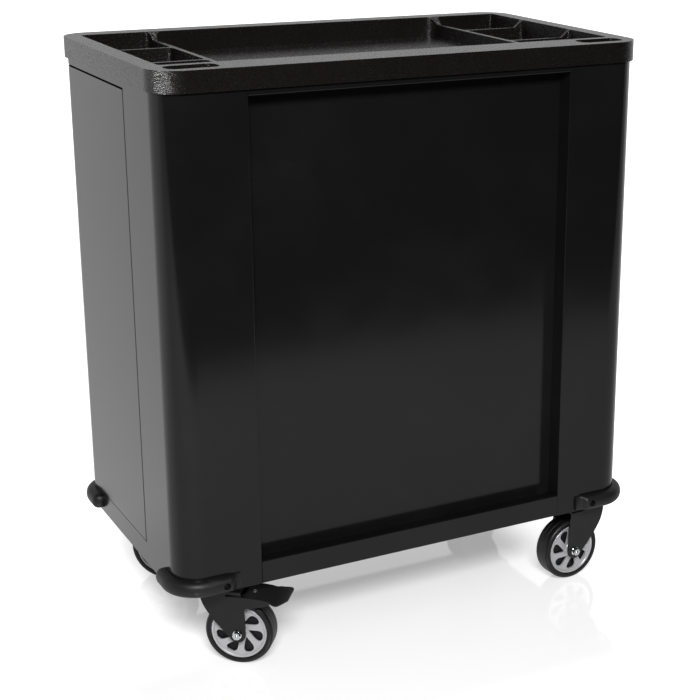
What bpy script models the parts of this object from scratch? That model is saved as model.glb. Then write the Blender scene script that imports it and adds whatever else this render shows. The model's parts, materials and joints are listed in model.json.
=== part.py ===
"""Rolling tool cabinet: sheet-steel body, moulded top tray, seven drawers, a side door and four casters.

Metres, +Z up. The origin is on the floor under the middle of the overall box. The drawers face -Y,
the recessed back faces +Y, and the hinged side door is at +X. The pieces are drawn about the middle
of the body, and main() then moves them to the middle of the box, because a brake pad reaches past
the back.
"""

from math import cos, pi, radians, sin

import bmesh
import bpy
from mathutils import Matrix, Vector

# Driving dimensions
BODY_WIDTH = 0.750
BODY_DEPTH = 0.430
BODY_HEIGHT = 0.712  # from the underside to the tray's skirt
CASTER_HEIGHT = 0.130  # from the floor to the underside of the body
CORNER_RADIUS = 0.040
SHEET = 0.0012  # steel sheet thickness
GAP = 0.0003  # clearance between touching pieces
SEAM = 0.0012  # visible gap round a fitted panel

HALF_W = BODY_WIDTH / 2
HALF_D = BODY_DEPTH / 2
BASE_Z = CASTER_HEIGHT
SKIRT_Z = BASE_Z + BODY_HEIGHT
SHELL_TOP_Z = SKIRT_Z + 0.008  # the shell's edge stands up inside the tray's skirt

# Bands above and below the door and the drawers
BOTTOM_BAND = 0.034
TOP_BAND = 0.010
OPENING_LOW = BASE_Z + BOTTOM_BAND
OPENING_HIGH = SKIRT_Z - TOP_BAND

# Recessed back
RECESS_HALF = 0.2515
RECESS_DEPTH = 0.028
RECESS_LOW = BASE_Z + 0.030
RECESS_HIGH = SKIRT_Z - 0.009
RECESS_Y = HALF_D - RECESS_DEPTH

# Front: drawer opening on the left, door on the right of the mullion
FRONT_POST_X = -0.300
MULLION_LEFT = 0.240
MULLION_RIGHT = 0.252
OPENING_CENTRE = (FRONT_POST_X + MULLION_LEFT) / 2
OPENING_HALF = (MULLION_LEFT - FRONT_POST_X) / 2 - 0.0015
RETURN_DEPTH = 0.025
RAIL_FLANGE = 0.015
RAIL_LIP = 0.005
PAN_THICKNESS = 0.002

# Tray
TRAY_OVERHANG = 0.0045
SKIRT_HEIGHT = 0.030
TRAY_TOP_Z = SKIRT_Z + SKIRT_HEIGHT
TRAY_DEPTH = 0.032
DIVIDER_DROP = 0.012
BASIN_HALF = 0.240
STRIP_INNER = 0.247
STRIP_OUTER = 0.353
POCKET_FRONT = -0.186
POCKET_REAR = 0.158
DIVIDERS_Y = (-0.089, 0.052)
DIVIDER_WIDTH = 0.005
PLUG_LOW = TRAY_TOP_Z - TRAY_DEPTH - 0.003
PLUG_HALF_X = 0.362
PLUG_FRONT = -0.1895
PLUG_REAR = 0.1855

# Drawers, from the top one down
DRAWER_HEIGHTS = (0.073, 0.073, 0.073, 0.073, 0.073, 0.115, 0.164)
DRAWER_GAP = 0.003
DRAWER_FRONT_THICKNESS = 0.014
DRAWER_BOX_HALF = 0.2495
DRAWER_BOX_REAR = 0.160
DRAWER_WALL = 0.0015
PULL_HEIGHT = 0.018
PULL_WALL = 0.0018
PULL_REACH = 0.0125
LINER_OFFSET = 0.2808
RUNNER_OFFSET = 0.2555
RUNNER_HEIGHT = 0.014

# Door
DOOR_LOW = OPENING_LOW + 0.001
DOOR_HIGH = OPENING_HIGH - 0.003
DOOR_REAR_EDGE = 0.0745
HINGE_RADIUS = 0.003
HINGE_X = HALF_W - HINGE_RADIUS
HINGE_Y = DOOR_REAR_EDGE - SEAM - HINGE_RADIUS
PIN_RADIUS = 0.0015
PIN_LENGTH = 0.030

# Corner bumpers
BUMPER_LOW = BASE_Z + 0.002
BUMPER_HEIGHT = 0.024
BUMPER_BULGE = 0.0137
BUMPER_TAB = 0.0045
BUMPER_REACH = 0.090  # from the body's outer plane to the end of each arm

# Lock
LOCK_X = -0.3175
LOCK_Z = OPENING_HIGH - 0.028
LOCK_RADIUS = 0.006
BEZEL_RADIUS = 0.0095

# From the middle of the overall box to the middle of the body
BODY_SHIFT_Y = -0.008

# Casters
WHEEL_RADIUS = 0.0508
HUB_RADIUS = 0.0415
TYRE_WIDTH = 0.032
HUB_WIDTH = 0.030
TRAIL = 0.028
AXLE_RADIUS = 0.004
PLATE_THICKNESS = 0.0025
PLATE_SIZE = (0.092, 0.064)
RACE_RADIUS = 0.026
RACE_HEIGHT = 0.0087
FORK_HALF = 0.0235
FORK_SHEET = 0.0025
LEG_RADIUS = 0.0125  # round end of each leg
PEDAL_PIVOT = (0.038, 0.1105)
PEDAL_SHEET = 0.002
CHEEK_CLEARANCE = 0.0007
PAD_HALF = 0.031
# name, swivel axis x and y, direction in which the wheel trails, brake pedal or not
CASTERS = (
    ("rear_right", 0.296, 0.167, 142.0, True),
    ("rear_left", -0.326, 0.173, 3.0, False),
    ("front_right", 0.300, -0.155, 136.6, True),
    ("front_left", -0.326, -0.152, 20.0, False),
)


def clear_scene():
    for item in list(bpy.data.objects):
        bpy.data.objects.remove(item, do_unlink=True)


def material(name, color, roughness, metallic=0.0):
    made = bpy.data.materials.new(name)
    made.use_nodes = True
    shader = made.node_tree.nodes["Principled BSDF"]
    shader.inputs["Base Color"].default_value = (*color, 1.0)
    shader.inputs["Roughness"].default_value = roughness
    shader.inputs["Metallic"].default_value = metallic
    return made


def finishes():
    return {
        "black_steel": material("black_steel", (0.012, 0.012, 0.012), 0.2),
        "grey_steel": material("grey_steel", (0.09, 0.09, 0.095), 0.45),
        "zinc": material("zinc", (0.55, 0.56, 0.58), 0.35, 1.0),
        "tray_plastic": material("tray_plastic", (0.035, 0.034, 0.034), 0.6),
        "bumper_rubber": material("bumper_rubber", (0.022, 0.022, 0.022), 0.55),
        "pull": material("pull", (0.3, 0.3, 0.31), 0.35, 1.0),
        "fork_steel": material("fork_steel", (0.02, 0.02, 0.02), 0.35),
        "hub_silver": material("hub_silver", (0.6, 0.6, 0.61), 0.4, 0.6),
        "tyre": material("tyre", (0.02, 0.02, 0.02), 0.6),
        "chrome": material("chrome", (0.75, 0.75, 0.75), 0.12, 1.0),
        "pedal_plastic": material("pedal_plastic", (0.015, 0.015, 0.015), 0.4),
    }


# Outlines


def arc(x, y, radius, start, end, steps):
    """Points on a circle from start to end, both in degrees and both included."""
    angles = [radians(start + (end - start) * i / steps) for i in range(steps + 1)]
    return [(x + radius * cos(a), y + radius * sin(a)) for a in angles]


def rounded_rectangle(low_x, low_y, high_x, high_y, radius, steps=3):
    """Corners run anticlockwise from the one at high x and high y."""
    corners = (
        (high_x - radius, high_y - radius, 0),
        (low_x + radius, high_y - radius, 90),
        (low_x + radius, low_y + radius, 180),
        (high_x - radius, low_y + radius, 270),
    )
    points = []
    for x, y, start in corners:
        points += arc(x, y, radius, start, start + 90, steps)
    return points


def thicken(path, thickness):
    """The closed outline of a sheet that lies to the left of an open path."""
    points = [Vector(p) for p in path]
    headings = [(b - a).normalized() for a, b in zip(points, points[1:])]
    inner = []
    for index, point in enumerate(points):
        before = headings[max(index - 1, 0)]
        after = headings[min(index, len(headings) - 1)]
        normal = Vector((-before.y, before.x))
        mitre = (normal + Vector((-after.y, after.x))).normalized()
        inner.append(point + mitre * thickness / mitre.dot(normal))
    return [tuple(p) for p in points + inner[::-1]]


# Solids


def keep(name, mesh_builder, finish, location=(0, 0, 0), parent=None):
    """Turns a bmesh into a named object whose origin is at location."""
    bmesh.ops.recalc_face_normals(mesh_builder, faces=mesh_builder.faces)
    mesh = bpy.data.meshes.new(name)
    mesh_builder.to_mesh(mesh)
    mesh_builder.free()
    mesh.materials.append(finish)
    made = bpy.data.objects.new(name, mesh)
    bpy.context.collection.objects.link(made)
    made.location = location
    made.parent = parent
    return made


def shade_round(piece, sharp_angle=35):
    piece.data.shade_smooth()
    piece.data.set_sharp_from_angle(angle=radians(sharp_angle))


def prism(outline, low, high, axis="Z"):
    """Extrudes an outline along an axis. The outline's own axes are XY, YZ or XZ."""
    place = {
        "Z": lambda a, b, c: (a, b, c),
        "X": lambda a, b, c: (c, a, b),
        "Y": lambda a, b, c: (a, c, b),
    }[axis]
    made = bmesh.new()
    face = made.faces.new([made.verts.new(place(a, b, low)) for a, b in outline])
    grown = bmesh.ops.extrude_face_region(made, geom=[face])
    moved = [item for item in grown["geom"] if isinstance(item, bmesh.types.BMVert)]
    bmesh.ops.translate(made, verts=moved, vec=Vector(place(0, 0, high - low)))
    return made


def box(low, high):
    outline = ((low[0], low[1]), (high[0], low[1]), (high[0], high[1]), (low[0], high[1]))
    return prism(outline, low[2], high[2])


def turned(profile, steps):
    """Spins a closed (radius, height) profile about Z."""
    made = bmesh.new()
    verts = [made.verts.new((radius, 0, height)) for radius, height in profile]
    edges = [made.edges.new(pair) for pair in zip(verts, verts[1:] + verts[:1])]
    bmesh.ops.spin(made, geom=verts + edges, cent=(0, 0, 0), axis=(0, 0, 1), angle=2 * pi, steps=steps, use_merge=True)
    bmesh.ops.remove_doubles(made, verts=made.verts, dist=1e-6)
    return made


def turn(mesh_builder, angle, axis):
    bmesh.ops.rotate(mesh_builder, verts=mesh_builder.verts, matrix=Matrix.Rotation(angle, 3, axis))
    return mesh_builder


def combine(piece, tool_mesh, operation):
    """Cuts or joins a bmesh into an object for good, and drops the tool."""
    tool = keep("tool", tool_mesh, piece.data.materials[0], location=piece.location)
    tool.parent = piece.parent
    modifier = piece.modifiers.new("combine", "BOOLEAN")
    modifier.operation = operation
    modifier.solver = "EXACT"
    modifier.object = tool
    graph = bpy.context.evaluated_depsgraph_get()
    result = bpy.data.meshes.new_from_object(piece.evaluated_get(graph))
    piece.modifiers.clear()
    piece.data = result
    bpy.data.objects.remove(tool, do_unlink=True)


def cut(piece, tool_mesh):
    combine(piece, tool_mesh, "DIFFERENCE")


def join(piece, tool_mesh):
    combine(piece, tool_mesh, "UNION")


# Body


def shell_left(finish):
    """Left side with both its rounded corner posts, folded inwards at the back and at the front."""
    inner_x, inner_y = HALF_W - CORNER_RADIUS, HALF_D - CORNER_RADIUS
    path = [(-RECESS_HALF, RECESS_Y), (-RECESS_HALF, HALF_D)]
    path += arc(-inner_x, inner_y, CORNER_RADIUS, 90, 180, 8)
    path += arc(-inner_x, -inner_y, CORNER_RADIUS, 180, 270, 8)
    path += [(FRONT_POST_X, -HALF_D), (FRONT_POST_X, -HALF_D + RETURN_DEPTH)]
    keep("shell_left", prism(thicken(path, SHEET), BASE_Z, SHELL_TOP_Z), finish)


def shell_right(finish):
    """Right rear post, with the bands that run over and under the door to the front."""
    inner_x, inner_y = HALF_W - CORNER_RADIUS, HALF_D - CORNER_RADIUS
    path = [(MULLION_RIGHT + GAP, -HALF_D)]
    path += arc(inner_x, -inner_y, CORNER_RADIUS, 270, 360, 8)
    path += arc(inner_x, inner_y, CORNER_RADIUS, 0, 90, 8)
    path += [(RECESS_HALF, HALF_D), (RECESS_HALF, RECESS_Y)]
    piece = keep("shell_right", prism(thicken(path, SHEET), BASE_Z, SHELL_TOP_Z), finish)
    beyond = 0.05
    low = (MULLION_RIGHT - beyond, -HALF_D - beyond, OPENING_LOW)
    high = (HALF_W + beyond, DOOR_REAR_EDGE, OPENING_HIGH)
    cut(piece, box(low, high))


def rear_panel(finish):
    margin = 0.010
    low = (-RECESS_HALF - margin, RECESS_Y - GAP - SHEET, RECESS_LOW - margin)
    high = (RECESS_HALF + margin, RECESS_Y - GAP, RECESS_HIGH + 0.0035)
    keep("rear_panel", box(low, high), finish)


def rear_rails(finish):
    """Bottom and top rails of the back frame. Each folds inwards as the recess's ledge or ceiling."""
    reach = RECESS_HALF - GAP
    lip = RECESS_LOW + RAIL_LIP  # the ledge falls back towards the panel
    ledge = [(HALF_D - RAIL_FLANGE, BASE_Z), (HALF_D, BASE_Z), (HALF_D, lip), (RECESS_Y, RECESS_LOW)]
    keep("rear_bottom_rail", prism(thicken(ledge, SHEET), -reach, reach, "X"), finish)
    ceiling = [(RECESS_Y, RECESS_HIGH), (HALF_D, RECESS_HIGH), (HALF_D, SHELL_TOP_Z)]
    keep("rear_top_rail", prism(thicken(ceiling, SHEET), -reach, reach, "X"), finish)


def front_rails(finish):
    """Bands under and over the drawers, each folded inwards at the opening."""
    left, right = FRONT_POST_X + GAP, MULLION_LEFT - GAP
    fold = -HALF_D + RAIL_FLANGE
    bottom = [(fold, OPENING_LOW), (-HALF_D, OPENING_LOW), (-HALF_D, BASE_Z)]
    top = [(-HALF_D, SHELL_TOP_Z), (-HALF_D, OPENING_HIGH), (fold, OPENING_HIGH)]
    keep("front_bottom_rail", prism(thicken(bottom, SHEET), left, right, "X"), finish)
    keep("front_top_rail", prism(thicken(top, SHEET), left, right, "X"), finish)


def base_pan(finish):
    """Floor plate inside the shell, notched round its folds, with the casters bolted under it."""
    inset = SHEET + GAP
    outline = rounded_rectangle(
        -HALF_W + inset, -HALF_D + inset, HALF_W - inset, HALF_D - inset, CORNER_RADIUS - inset, 8
    )
    piece = keep("base_pan", prism(outline, BASE_Z, BASE_Z + PAN_THICKNESS), finish)
    reach = RECESS_HALF + inset
    flange = HALF_D - RAIL_FLANGE - GAP
    notches = [
        (-reach, flange, reach, HALF_D),
        (FRONT_POST_X - inset, -HALF_D, FRONT_POST_X + GAP, -HALF_D + RETURN_DEPTH + GAP),
        (-reach, RECESS_Y - GAP, -RECESS_HALF + GAP, HALF_D),
        (RECESS_HALF - GAP, RECESS_Y - GAP, reach, HALF_D),
    ]
    for low_x, low_y, high_x, high_y in notches:
        cut(piece, box((low_x, low_y, BASE_Z - 0.01), (high_x, high_y, BASE_Z + 0.01)))


def bulkhead(finish):
    """Mullion beside the drawers that runs back as the wall between them and the side bay."""
    path = [
        (MULLION_LEFT, -HALF_D + RETURN_DEPTH),
        (MULLION_LEFT, -HALF_D),
        (MULLION_RIGHT, -HALF_D),
        (MULLION_RIGHT, RECESS_Y - 0.002),
    ]
    low = BASE_Z + PAN_THICKNESS + GAP
    piece = keep("bulkhead", prism(thicken(path, SHEET), low, SHELL_TOP_Z), finish)
    cut(piece, box((0.2, -HALF_D + RETURN_DEPTH - 0.001, PLUG_LOW - GAP), (0.3, HALF_D, 1.0)))


def drawer_liner(finish):
    inner = OPENING_CENTRE - LINER_OFFSET
    low = (inner - SHEET, -HALF_D + RETURN_DEPTH + 0.001, BASE_Z + PAN_THICKNESS + GAP)
    high = (inner, RECESS_Y - 0.002, PLUG_LOW - GAP)
    keep("drawer_liner", box(low, high), finish)


def drawer_spans():
    """Lowest and highest z of each drawer's front, from the top drawer down."""
    top = DOOR_HIGH + 0.0015
    for height in DRAWER_HEIGHTS:
        yield top - height, top
        top -= height + DRAWER_GAP


def runner_racks(finish):
    """Zinc plates with one fixed runner for each drawer, left and right."""
    web = 0.0015
    for side, name in ((-1, "runner_rack_left"), (1, "runner_rack_right")):
        wall = OPENING_CENTRE + side * (LINER_OFFSET - GAP)
        tip = OPENING_CENTRE + side * RUNNER_OFFSET
        face = wall - side * web
        outline = [(wall, OPENING_HIGH - 0.006), (face, OPENING_HIGH - 0.006)]
        for low, high in drawer_spans():
            middle = low + 0.026
            outline += [(face, middle + RUNNER_HEIGHT / 2), (tip, middle + RUNNER_HEIGHT / 2)]
            outline += [(tip, middle - RUNNER_HEIGHT / 2), (face, middle - RUNNER_HEIGHT / 2)]
        outline += [(face, OPENING_LOW + 0.004), (wall, OPENING_LOW + 0.004)]
        keep(name, prism(outline, -HALF_D + RETURN_DEPTH + 0.002, RECESS_Y - 0.006, "Y"), finish)


def bay_shelf(finish):
    """Shelf halfway up the side bay, with a raised lip towards the door."""
    middle = (OPENING_LOW + OPENING_HIGH) / 2
    left, right = MULLION_RIGHT + GAP, HALF_W - 0.016
    path = [(left, middle + 0.02), (left, middle), (right, middle), (right, middle + 0.012)]
    keep("bay_shelf", prism(thicken(path, SHEET), -HALF_D + 0.030, RECESS_Y - 0.002, "Y"), finish)


# Tray


def pocket(low_x, low_y, high_x, high_y, floor, radius=0.006):
    above = 0.01
    return prism(rounded_rectangle(low_x, low_y, high_x, high_y, radius), floor, TRAY_TOP_Z + above)


def tray_underside():
    """Space cut up from below, which clears the shell's edge and the frame under the tray."""
    clear = GAP
    outline = rounded_rectangle(
        -HALF_W - clear, -HALF_D - clear, HALF_W + clear, HALF_D + clear, CORNER_RADIUS + clear, 8
    )
    return prism(outline, PLUG_LOW - 0.02, SHELL_TOP_Z + GAP)


def top_tray(finish):
    """Moulded tray that caps the body: a deep basin between two strips of three pockets and a slot."""
    reach_x, reach_y = HALF_W + TRAY_OVERHANG, HALF_D + TRAY_OVERHANG
    radius = CORNER_RADIUS + TRAY_OVERHANG
    outline = rounded_rectangle(-reach_x, -reach_y, reach_x, reach_y, radius, 8)
    piece = keep("top_tray", prism(outline, SKIRT_Z, TRAY_TOP_Z), finish)
    cut(piece, tray_underside())
    plug = rounded_rectangle(-PLUG_HALF_X, PLUG_FRONT, PLUG_HALF_X, PLUG_REAR, 0.020)
    join(piece, prism(plug, PLUG_LOW, SHELL_TOP_Z + 0.002))

    ramp = 0.015
    lowered = prism(
        rounded_rectangle(-STRIP_OUTER, POCKET_FRONT, STRIP_OUTER, POCKET_REAR, 0.006),
        TRAY_TOP_Z - DIVIDER_DROP,
        TRAY_TOP_Z,
    )
    middle = Vector((0, (POCKET_FRONT + POCKET_REAR) / 2, 0))
    spread = Vector((STRIP_OUTER, (POCKET_REAR - POCKET_FRONT) / 2, 0))
    for vert in lowered.verts:
        if vert.co.z < TRAY_TOP_Z - DIVIDER_DROP / 2:
            vert.co.x *= (spread.x - ramp) / spread.x
            vert.co.y = middle.y + (vert.co.y - middle.y) * (spread.y - ramp) / spread.y
        else:
            vert.co.z += 0.0005
    cut(piece, lowered)

    floor = TRAY_TOP_Z - TRAY_DEPTH
    cut(piece, pocket(-BASIN_HALF, POCKET_FRONT, BASIN_HALF, POCKET_REAR, floor, 0.012))
    half = DIVIDER_WIDTH / 2
    fronts = (POCKET_FRONT, DIVIDERS_Y[0] + half, DIVIDERS_Y[1] + half)
    rears = (DIVIDERS_Y[0] - half, DIVIDERS_Y[1] - half, POCKET_REAR)
    for side in (-1, 1):
        low_x, high_x = sorted((side * STRIP_INNER, side * STRIP_OUTER))
        for front, rear in zip(fronts, rears):
            cut(piece, pocket(low_x, front, high_x, rear, floor))
        low_x, high_x = sorted((side * 0.281, side * 0.355))
        cut(piece, pocket(low_x, 0.170, high_x, 0.203, SHELL_TOP_Z + 0.0045, 0.012))
    shade_round(piece)


# Corner bumpers


def bumper_stations():
    """Place, outward direction and bulge along a bumper, from the end of one arm to the other."""
    inner_x, inner_y = HALF_W - CORNER_RADIUS, HALF_D - CORNER_RADIUS
    radius = CORNER_RADIUS + GAP
    arms = ((0.0, BUMPER_TAB), (0.009, BUMPER_TAB), (0.019, BUMPER_BULGE))
    stations = []
    for along, bulge in arms:
        stations.append(((HALF_W + GAP, HALF_D - BUMPER_REACH + along), (1, 0), bulge))
    for x, y in arc(0, 0, 1, 0, 90, 8):
        stations.append(((inner_x + x * radius, inner_y + y * radius), (x, y), BUMPER_BULGE))
    for along, bulge in arms[::-1]:
        stations.append(((HALF_W - BUMPER_REACH + along, HALF_D + GAP), (0, 1), bulge))
    return stations


def bumper(name, side_x, side_y, finish):
    made = bmesh.new()
    rings = []
    half = BUMPER_HEIGHT / 2
    for (x, y), (out_x, out_y), bulge in bumper_stations():
        ring = []
        for a in range(-90, 91, 30):
            out = bulge * max(cos(radians(a)), 0.0) ** 0.6
            z = BUMPER_LOW + half + half * sin(radians(a))
            ring.append(made.verts.new((side_x * (x + out_x * out), side_y * (y + out_y * out), z)))
        rings.append(ring)
    for one, other in zip(rings, rings[1:]):
        for i in range(len(one)):
            j = (i + 1) % len(one)
            made.faces.new((one[i], one[j], other[j], other[i]))
    made.faces.new(rings[0])
    made.faces.new(rings[-1])
    shade_round(keep(name, made, finish), 50)


# Drawers


def drawer(number, low, high, finish):
    """Hollow front, open under its pull, and an open box, welded into one piece."""
    name = f"drawer_{number}"
    front_low = (OPENING_CENTRE - OPENING_HALF, -HALF_D, low)
    front_high = (OPENING_CENTRE + OPENING_HALF, -HALF_D + DRAWER_FRONT_THICKNESS, high - PULL_HEIGHT)
    piece = keep(name, box(front_low, front_high), finish)
    box_low = (OPENING_CENTRE - DRAWER_BOX_HALF, -HALF_D + 0.008, low + 0.006)
    box_high = (OPENING_CENTRE + DRAWER_BOX_HALF, DRAWER_BOX_REAR, high - PULL_HEIGHT - 0.004)
    join(piece, box(box_low, box_high))
    skin = 2 * DRAWER_WALL
    front_hollow_low = (front_low[0] + skin, -HALF_D + DRAWER_WALL, low + DRAWER_WALL)
    front_hollow_high = (front_high[0] - skin, front_high[1] - DRAWER_WALL, high + 0.01)
    cut(piece, box(front_hollow_low, front_hollow_high))
    hollow_low = (box_low[0] + DRAWER_WALL, -HALF_D + DRAWER_FRONT_THICKNESS, box_low[2] + DRAWER_WALL)
    hollow_high = (box_high[0] - DRAWER_WALL, box_high[1] - DRAWER_WALL, high + 0.01)
    cut(piece, box(hollow_low, hollow_high))


def drawer_pull(number, high, finish):
    """Grip strip along the top of a drawer front, with a finger gap under its lip."""
    base = high - PULL_HEIGHT + GAP
    back = -HALF_D + DRAWER_FRONT_THICKNESS - 0.0005
    lip = -HALF_D - PULL_REACH
    path = [(-HALF_D + 0.0005, base), (back, base), (back, high), (lip, high), (lip, high - 0.008)]
    outline = thicken(path, PULL_WALL)
    left, right = OPENING_CENTRE - OPENING_HALF, OPENING_CENTRE + OPENING_HALF
    keep(f"drawer_{number}_pull", prism(outline, left, right, "X"), finish)


# Door


def door_skin(finish):
    """Outer sheet: folded front edge, round the corner, and back to an edge rolled round the hinge pins."""
    inner_x, inner_y = HALF_W - CORNER_RADIUS, HALF_D - CORNER_RADIUS
    front = MULLION_RIGHT + SEAM + GAP
    path = [(front, -HALF_D + RETURN_DEPTH), (front, -HALF_D)]
    path += arc(inner_x, -inner_y, CORNER_RADIUS, 270, 360, 8)
    path += arc(HINGE_X, HINGE_Y, HINGE_RADIUS, 0, 300, 10)
    outline = [(x - HINGE_X, y - HINGE_Y) for x, y in thicken(path, SHEET)]
    location = (HINGE_X, HINGE_Y, DOOR_LOW)
    keep("door_skin", prism(outline, 0, DOOR_HIGH - DOOR_LOW), finish, location)


def door_liner(finish):
    """Stiffening pan inside the door."""
    depth, front, rear = 0.012, -0.160, 0.052
    face = HALF_W - SHEET - GAP
    path = [(face, front), (face - depth, front), (face - depth, rear), (face, rear)]
    outline = [(x - HINGE_X, y - HINGE_Y) for x, y in thicken(path[::-1], SHEET)]
    margin = 0.015
    location = (HINGE_X, HINGE_Y, DOOR_LOW + margin)
    keep("door_liner", prism(outline, 0, DOOR_HIGH - DOOR_LOW - 2 * margin), finish, location)


def door_hinge(name, plate_low, plate_high, pin_low, pin_high, finish):
    """Bracket inside the shell with a pin that stands in the door's rolled edge."""
    inner = HALF_W - SHEET - GAP
    plate = box((inner - 0.022, HINGE_Y - 0.012, plate_low), (inner, HINGE_Y + 0.030, plate_high))
    piece = keep(name, plate, finish)
    pin = prism([(HINGE_X + x, HINGE_Y + y) for x, y in arc(0, 0, PIN_RADIUS, 0, 337.5, 15)], pin_low, pin_high)
    join(piece, pin)


# Lock


def lock(chrome):
    """Bezel on the front post, with the barrel that turns in it."""
    face = -HALF_D - GAP
    ring = [(LOCK_RADIUS + GAP, 0), (BEZEL_RADIUS, 0), (BEZEL_RADIUS - 0.001, 0.002), (LOCK_RADIUS + GAP, 0.002)]
    bezel = turn(turned(ring, 24), pi / 2, "X")
    shade_round(keep("lock_bezel", bezel, chrome, (LOCK_X, face, LOCK_Z)))
    disc = prism(arc(0, 0, LOCK_RADIUS, 0, 345, 23), 0, 0.0032)
    barrel = keep("lock_barrel", turn(disc, pi / 2, "X"), chrome, (LOCK_X, face, LOCK_Z))
    cut(barrel, box((-0.0008, -0.006, -0.0038), (0.0008, -0.0018, 0.0038)))


# Casters


def empty(name, location, angle=0.0, parent=None):
    made = bpy.data.objects.new(name, None)
    bpy.context.collection.objects.link(made)
    made.location = location
    made.rotation_euler = (0, 0, angle)
    made.parent = parent
    return made


def caster_plate(name, x, y, finish):
    """Plate bolted to the base, with the swivel race under it."""
    top = BASE_Z - GAP
    low = top - PLATE_THICKNESS
    half_x, half_y = PLATE_SIZE[0] / 2, PLATE_SIZE[1] / 2
    plate = prism(rounded_rectangle(-half_x, -half_y, half_x, half_y, 0.006), low, top)
    piece = keep(f"caster_{name}_plate", plate, finish, (x, y, 0))
    rim = arc(0, 0, RACE_RADIUS, 0, 345, 23)
    join(piece, prism(rim, low - RACE_HEIGHT, low + 0.001))


def fork(name, swivel, finish):
    """Pressed fork: a crown under the race and two legs that taper to the axle."""
    top = BASE_Z - GAP - PLATE_THICKNESS - RACE_HEIGHT - GAP
    axle = (TRAIL, WHEEL_RADIUS)
    outline = [(-0.0275, top), (0.0345, top), (0.0393, 0.094)]
    outline += arc(axle[0], axle[1], LEG_RADIUS, 0, -139, 6)
    outline += [(-0.0063, 0.0712), (-0.0125, 0.0815), (-0.0215, 0.094), (-0.0256, 0.1046)]
    piece = keep(f"caster_{name}_fork", prism(outline, -FORK_HALF, FORK_HALF, "Y"), finish, parent=swivel)
    inner = FORK_HALF - FORK_SHEET
    cut(piece, box((-0.1, -inner, 0), (0.1, inner, top - 0.003)))
    hole = turn(prism(arc(0, 0, AXLE_RADIUS + GAP, 0, 337.5, 15), -0.05, 0.05), pi / 2, "X")
    bmesh.ops.translate(hole, verts=hole.verts, vec=(axle[0], 0, axle[1]))
    cut(piece, hole)


def wheel(name, axle, hub_finish, tyre_finish, bolt_finish):
    """Hub, tyre and axle bolt, all turned about the axle."""
    bore = AXLE_RADIUS + GAP
    half = HUB_WIDTH / 2
    hub = [(bore, -half), (0.012, -half), (0.014, -half + 0.003), (0.036, -half + 0.002)]
    hub += [(HUB_RADIUS - 0.002, -half), (HUB_RADIUS, -half)]
    hub += [(radius, -height) for radius, height in hub[::-1]]
    shade_round(keep(f"caster_{name}_hub", turn(turned(hub, 32), pi / 2, "X"), hub_finish, parent=axle))
    seat, half, shoulder = HUB_RADIUS + GAP, TYRE_WIDTH / 2, 0.004
    tyre = [(seat, -half), (WHEEL_RADIUS - shoulder, -half), (WHEEL_RADIUS - 0.001, -half + shoulder)]
    tyre += [(WHEEL_RADIUS, -half + 2 * shoulder)]
    tyre += [(radius, -height) for radius, height in tyre[::-1]]
    shade_round(keep(f"caster_{name}_tyre", turn(turned(tyre, 40), pi / 2, "X"), tyre_finish, parent=axle))
    head, tall, grip = 0.0070, 0.0075, FORK_HALF + GAP
    bolt = keep(f"caster_{name}_axle", bolt_shaft(grip), bolt_finish, parent=axle)
    for low, high in ((grip, grip + tall), (-grip - tall, -grip)):
        join(bolt, turn(prism(arc(0, 0, head, 0, 300, 5), low, high), pi / 2, "X"))


def bolt_shaft(grip):
    return turn(prism(arc(0, 0, AXLE_RADIUS, 0, 337.5, 15), -grip - 0.002, grip + 0.002), pi / 2, "X")


def brake_pedal(name, swivel, finish):
    """Lever over the wheel: a cap with cheeks bent down outside the legs, and a wide pad behind the tyre."""
    x, z = PEDAL_PIVOT
    path = [(-0.0002, -0.0015), (0.018, -0.0015), (0.039, -0.0045), (0.049, -0.006), (0.0645, -0.004)]
    cheek = [(-0.026, 0.002), (0.018, 0.001), (0.039, -0.002), (0.0395, -0.009), (0.020, -0.0131)]
    cheek += [(0.0025, -0.0171), (-0.008, -0.0165), (-0.022, -0.0065)]
    inner = FORK_HALF + CHEEK_CLEARANCE
    outer = inner + PEDAL_SHEET
    cap_half = outer - PEDAL_SHEET / 4
    pivot = empty(f"pedal_pivot_{name}", (x, 0, z), parent=swivel)
    cap = prism(thicken(path, PEDAL_SHEET), -cap_half, cap_half, "Y")
    piece = keep(f"caster_{name}_pedal", cap, finish, parent=pivot)
    join(piece, prism(thicken(path[2:], PEDAL_SHEET), -PAD_HALF, PAD_HALF, "Y"))
    for side in (-1, 1):
        join(piece, prism(cheek, *sorted((side * inner, side * outer)), "Y"))
        corner = [(0.050, side * 0.0315), (0.066, side * 0.0315), (0.066, side * 0.0145)]
        cut(piece, prism(corner, -0.05, 0.05))


def casters(finish):
    for name, x, y, heading, braked in CASTERS:
        caster_plate(name, x, y, finish["fork_steel"])
        swivel = empty(f"swivel_{name}", (x, y, 0), radians(heading))
        fork(name, swivel, finish["fork_steel"])
        axle = empty(f"axle_{name}", (TRAIL, 0, WHEEL_RADIUS), parent=swivel)
        wheel(name, axle, finish["hub_silver"], finish["tyre"], finish["chrome"])
        if braked:
            brake_pedal(name, swivel, finish["pedal_plastic"])


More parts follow.
